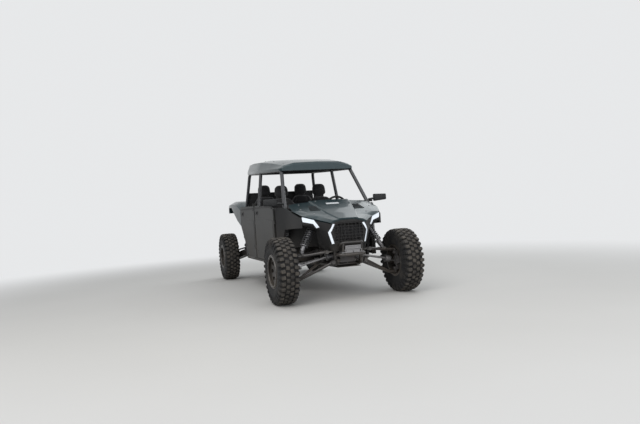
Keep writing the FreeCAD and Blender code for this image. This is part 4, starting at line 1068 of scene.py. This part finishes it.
def doorTrim(row, label, hand, near, far, low, gap):
    first, last, high = near + doorForm["skinIn"], far - gap, doorForm["skinTop"]
    fittings = fitting("handle", hand, far, far)
    spread(fittings, fitting("plate", hand, far, far))
    ahead, top = doorForm["studTop"]
    inside, up = doorForm["studIn"], low + doorForm["studUp"]
    for back, height in ((near + ahead, top), (first + inside, up), (last - inside, up)):
        place = at(hand * doorForm["face"] + hand * doorForm["studSeat"], back, height)
        spread(fittings, bolt(*doorForm["stud"]), [standing(place, (hand, 0, 0))])
    skin = sideBlock(hand, *doorForm["skin"], (first, last), (low, high), doorForm["skinEdge"])
    for vert in skin.verts:
        if vert.co.z > (low + high) / 2:
            vert.co.z += doorForm["skinRise"] * (vert.co.y - frontAxle - first) / (last - first)
    body = "door_%s_%s" % (row, label)
    finished("door_skin_%s_%s" % (row, label), "door_plastic", skin, body=body)
    spread(fittings, fitting("strip", hand, near, far))
    spread(fittings, fitting("pull", hand, near, near))
    finished("door_fittings_%s_%s" % (row, label), "dash_plastic", fittings, body=body)


for row, *sizes in doorRows:
    for label, hand in hands.items():
        doorTrim(row, label, hand, *sizes)

# the steering wheel's hub with its bolts, and the wrapped grip
steering = {
    "column": (0.3, 0.56, 1.01), "head": (0.3, 0.9, 1.13), "hub": 0.042, "hubRadius": 0.031,
    "bolts": 6, "boltCircle": 0.037, "bolt": (0.0038, 0.0035), "rim": 0.16, "wraps": 30,
    "wrap": [(-0.004, 0.0135), (-0.003, 0.0157), (0.003, 0.0157), (0.004, 0.0135)],
}
axis = (at(*steering["head"]) - at(*steering["column"])).normalized()
hubPlace = standing(at(*steering["head"]) + axis * steering["hub"], axis)
horn = bar((0, 0, -0.006), (0, 0, 0.007), steering["hubRadius"], 32, 0.003)
foot = Matrix.Translation((steering["boltCircle"], 0, 0.0005))
spread(horn, bolt(*steering["bolt"]), [turn @ foot for turn in around(steering["bolts"], "Z")])
finished("wheel_hub", "dash_plastic", moved(horn, hubPlace), body="steering_wheel")
grips = bmesh.new()
foot = Matrix.Translation((steering["rim"], 0, 0)) @ Matrix.Rotation(math.pi / 2, 4, "Z")
places = [hubPlace @ turn @ foot for turn in around(steering["wraps"], "Z")]
spread(grips, turned(steering["wrap"], 14), places)
finished("wheel_wrap", "grip_rubber", grips, body="steering_wheel")


print("stage: nose")

cooler = {
    "fins": 34, "foot": 0.652, "step": 0.0072, "thick": 0.0025, "half": 0.185,
    "finBacks": (-0.1535, -0.149), "finEdge": 0.0006, "tanks": (-0.194, 0.194),
    "tankHalf": 0.008, "tankBacks": (-0.158, -0.148), "tankHeights": (0.645, 0.895),
}
grilleMesh = {
    "wire": (0.0016, 6, 0.0002), "rows": 19, "rowFoot": 0.702, "rowStep": 0.0135, "rowBack": -0.2305,
    "posts": 27, "postFirst": -0.182, "postStep": 0.014, "postBack": -0.229,
}
fairlead = {
    "face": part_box("winch")[0][1], "proud": 0.004, "rollers": (0.629, 0.659), "half": 0.07,
    "roller": (0.0075, 20), "guides": (-0.078, 0.078), "guideHeights": (0.62, 0.667),
    "guide": (0.007, 20), "bolts": (0.612, 0.592), "boltOut": 1.35, "bolt": (0.0065, 0.005),
}

fins = bmesh.new()
for n in range(cooler["fins"]):
    z = cooler["foot"] + cooler["step"] * n
    heights = z, z + cooler["thick"]
    spread(fins, slab(about(0, cooler["half"]), cooler["finBacks"], heights, cooler["finEdge"]))
for side in cooler["tanks"]:
    spread(fins, slab(about(side, cooler["tankHalf"]), cooler["tankBacks"], cooler["tankHeights"]))
finished("radiator_fins", "radiator_alloy", fins)

# the wires follow the grille's opening, narrow at its foot and at its top
mesh = bmesh.new()
for n in range(grilleMesh["rows"]):
    z = grilleMesh["rowFoot"] + grilleMesh["rowStep"] * n
    half = 0.12 + 0.075 * min((z - 0.69) / 0.14, 1) - max(z - 0.85, 0) * 0.35
    start, end = (at(side, grilleMesh["rowBack"], z) for side in (-half, half))
    spread(mesh, bar(start, end, *grilleMesh["wire"]))
for n in range(grilleMesh["posts"]):
    x = grilleMesh["postFirst"] + grilleMesh["postStep"] * n
    low = 0.7 + max(abs(x) - 0.12, 0) * 1.7
    high = 0.945 - max(abs(x) - 0.14, 0) * 1.9
    start, end = (at(x, grilleMesh["postBack"], z) for z in (low, high))
    spread(mesh, bar(start, end, *grilleMesh["wire"]))
finished("grille_mesh", "grille_plastic", mesh)

face = fairlead["face"]
front = face + fairlead["proud"]
rollers = bmesh.new()
for z in fairlead["rollers"]:
    start, end = ((side, front, z) for side in about(0, fairlead["half"]))
    spread(rollers, bar(start, end, *fairlead["roller"]))
for x in fairlead["guides"]:
    start, end = ((x, front, z) for z in fairlead["guideHeights"])
    spread(rollers, bar(start, end, *fairlead["guide"]))
    for z in fairlead["bolts"]:
        seat = (x * fairlead["boltOut"], face + 0.0005, z)
        spread(rollers, bolt(*fairlead["bolt"]), [standing(seat, (0, -1, 0))])
finished("fairlead_rollers", "bare_metal", rollers)

hook = bmesh.new()
ring = turned([(-0.0045, 0.0125), (-0.003, 0.016), (0.003, 0.016), (0.0045, 0.0125), (0, 0.011)], 28)
spread(hook, swung(ring, 0.5, "Z"), [Matrix.Translation((0.0, face + 0.012, 0.598))])
spread(hook, bar((0.0, face + 0.01, 0.612), (0.0, face + 0.014, 0.644), 0.0055, 12))
finished("winch_hook", "bare_metal", hook)


print("stage: rear")

bedForm = {
    "ribs": 9, "first": -0.4, "step": 0.1, "half": 0.014,
    "backs": (3.01, 3.735), "heights": (1.0085, 1.0145),
    "ringSide": 0.4645, "ringBacks": (3.05, 3.69), "ringHeight": 1.15, "wall": 0.47,
    "ring": [(-0.003, 0.016), (0, 0.019), (0.003, 0.016), (0, 0.013)],
}
engineForm = {
    "ribs": 9, "foot": 0.6, "step": 0.03, "thick": 0.007, "half": 0.197, "backs": (3.02, 3.46),
    "coverBack": 3.2, "coverHeight": 0.66, "coverSides": (0.185, 0.215), "coverRadius": 0.105,
    "bolts": 10, "boltCircle": 0.088, "boltSeat": 0.214, "bolt": (0.0065, 0.006),
}
exhaustTip = {
    "side": 0.1, "height": 0.852, "depth": 0.004,
    "outline": [(0, 0.024), (0.02, 0.024), (0.02, 0.029), (0, 0.029)],
}
tailLamp = {
    "flutes": 7, "first": 0.585, "step": 0.0165, "half": 0.006,
    "backs": (3.6445, 3.649), "heights": (1.19, 1.234),
}
skidBolts = {
    "height": 0.4002, "bolt": (0.008, 0.004),
    "places": (
        (0.52, 0.8), (0.52, 1.3), (0.52, 1.8), (0.52, 2.3), (0.16, 0.2),
        (0.2, 0.6), (0.2, 1.4), (0.2, 2.2), (0.16, 3.0), (0.16, 3.5),
    ),
}

bed = bmesh.new()
for n in range(bedForm["ribs"]):
    x = bedForm["first"] + bedForm["step"] * n
    spread(bed, slab(about(x, bedForm["half"]), bedForm["backs"], bedForm["heights"], 0.0025))
finished("bed_ribs", "panel_plastic", bed)

rings = bmesh.new()
for hand in hands.values():
    for back in bedForm["ringBacks"]:
        place = at(hand * bedForm["ringSide"], back, bedForm["ringHeight"])
        spread(rings, turned(bedForm["ring"], 24), [Matrix.Translation(place)])
        wall = hand * bedForm["wall"]
        spread(rings, slab((wall - 0.004, wall + 0.001), about(back, 0.012), (1.156, 1.176), 0.0015))
finished("tie_down_rings", "bare_metal", rings)

case = bmesh.new()
for n in range(engineForm["ribs"]):
    z = engineForm["foot"] + engineForm["step"] * n
    heights = z, z + engineForm["thick"]
    spread(case, slab(about(0, engineForm["half"]), engineForm["backs"], heights, 0.0025))
for hand in hands.values():
    back, height = engineForm["coverBack"], engineForm["coverHeight"]
    start, end = (at(hand * side, back, height) for side in engineForm["coverSides"])
    spread(case, bar(start, end, engineForm["coverRadius"], 40, 0.006))
    places = []
    for n in range(engineForm["bolts"]):
        angle = math.tau * n / engineForm["bolts"]
        along, up = (engineForm["boltCircle"] * turn(angle) for turn in (math.cos, math.sin))
        seat = at(hand * engineForm["boltSeat"], back + along, height + up)
        places.append(standing(seat, (hand, 0, 0)))
    spread(case, bolt(*engineForm["bolt"]), places)
finished("engine_covers", "engine_casting", case)

tip = swung(turned(exhaustTip["outline"], 28), math.pi / 2, "Z")
place = (exhaustTip["side"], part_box("exhaust")[1][1] - exhaustTip["depth"], exhaustTip["height"])
bmesh.ops.translate(tip, verts=tip.verts, vec=place)
finished("exhaust_tip", "exhaust_steel", tip)

lens = bmesh.new()
for hand in hands.values():
    for n in range(tailLamp["flutes"]):
        x = hand * (tailLamp["first"] + tailLamp["step"] * n)
        spread(lens, slab(about(x, tailLamp["half"]), tailLamp["backs"], tailLamp["heights"], 0.002))
finished("tail_lamp_lenses", "tail_lens", lens)

skid = bmesh.new()
places = [standing(at(hand * side, back, skidBolts["height"]), (0, 0, -1))
          for hand in hands.values() for side, back in skidBolts["places"]]
spread(skid, bolt(*skidBolts["bolt"]), places)
finished("skid_bolts", "bare_metal", skid)


print("stage: floor")

makeWorld()

ground = bmesh.new()
cells = backdrop["cells"]
bmesh.ops.create_grid(ground, x_segments=cells, y_segments=cells, size=backdrop["size"])
data = bpy.data.meshes.new("floor")
ground.to_mesh(data)
ground.free()
floor = bpy.data.objects.new("floor", data)
collection.objects.link(floor)
data.materials.append(floorPaint("floor"))
floor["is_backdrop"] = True

sizes = {"cad": [list(v) for v in cadBox], "visual": [list(v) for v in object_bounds()]}
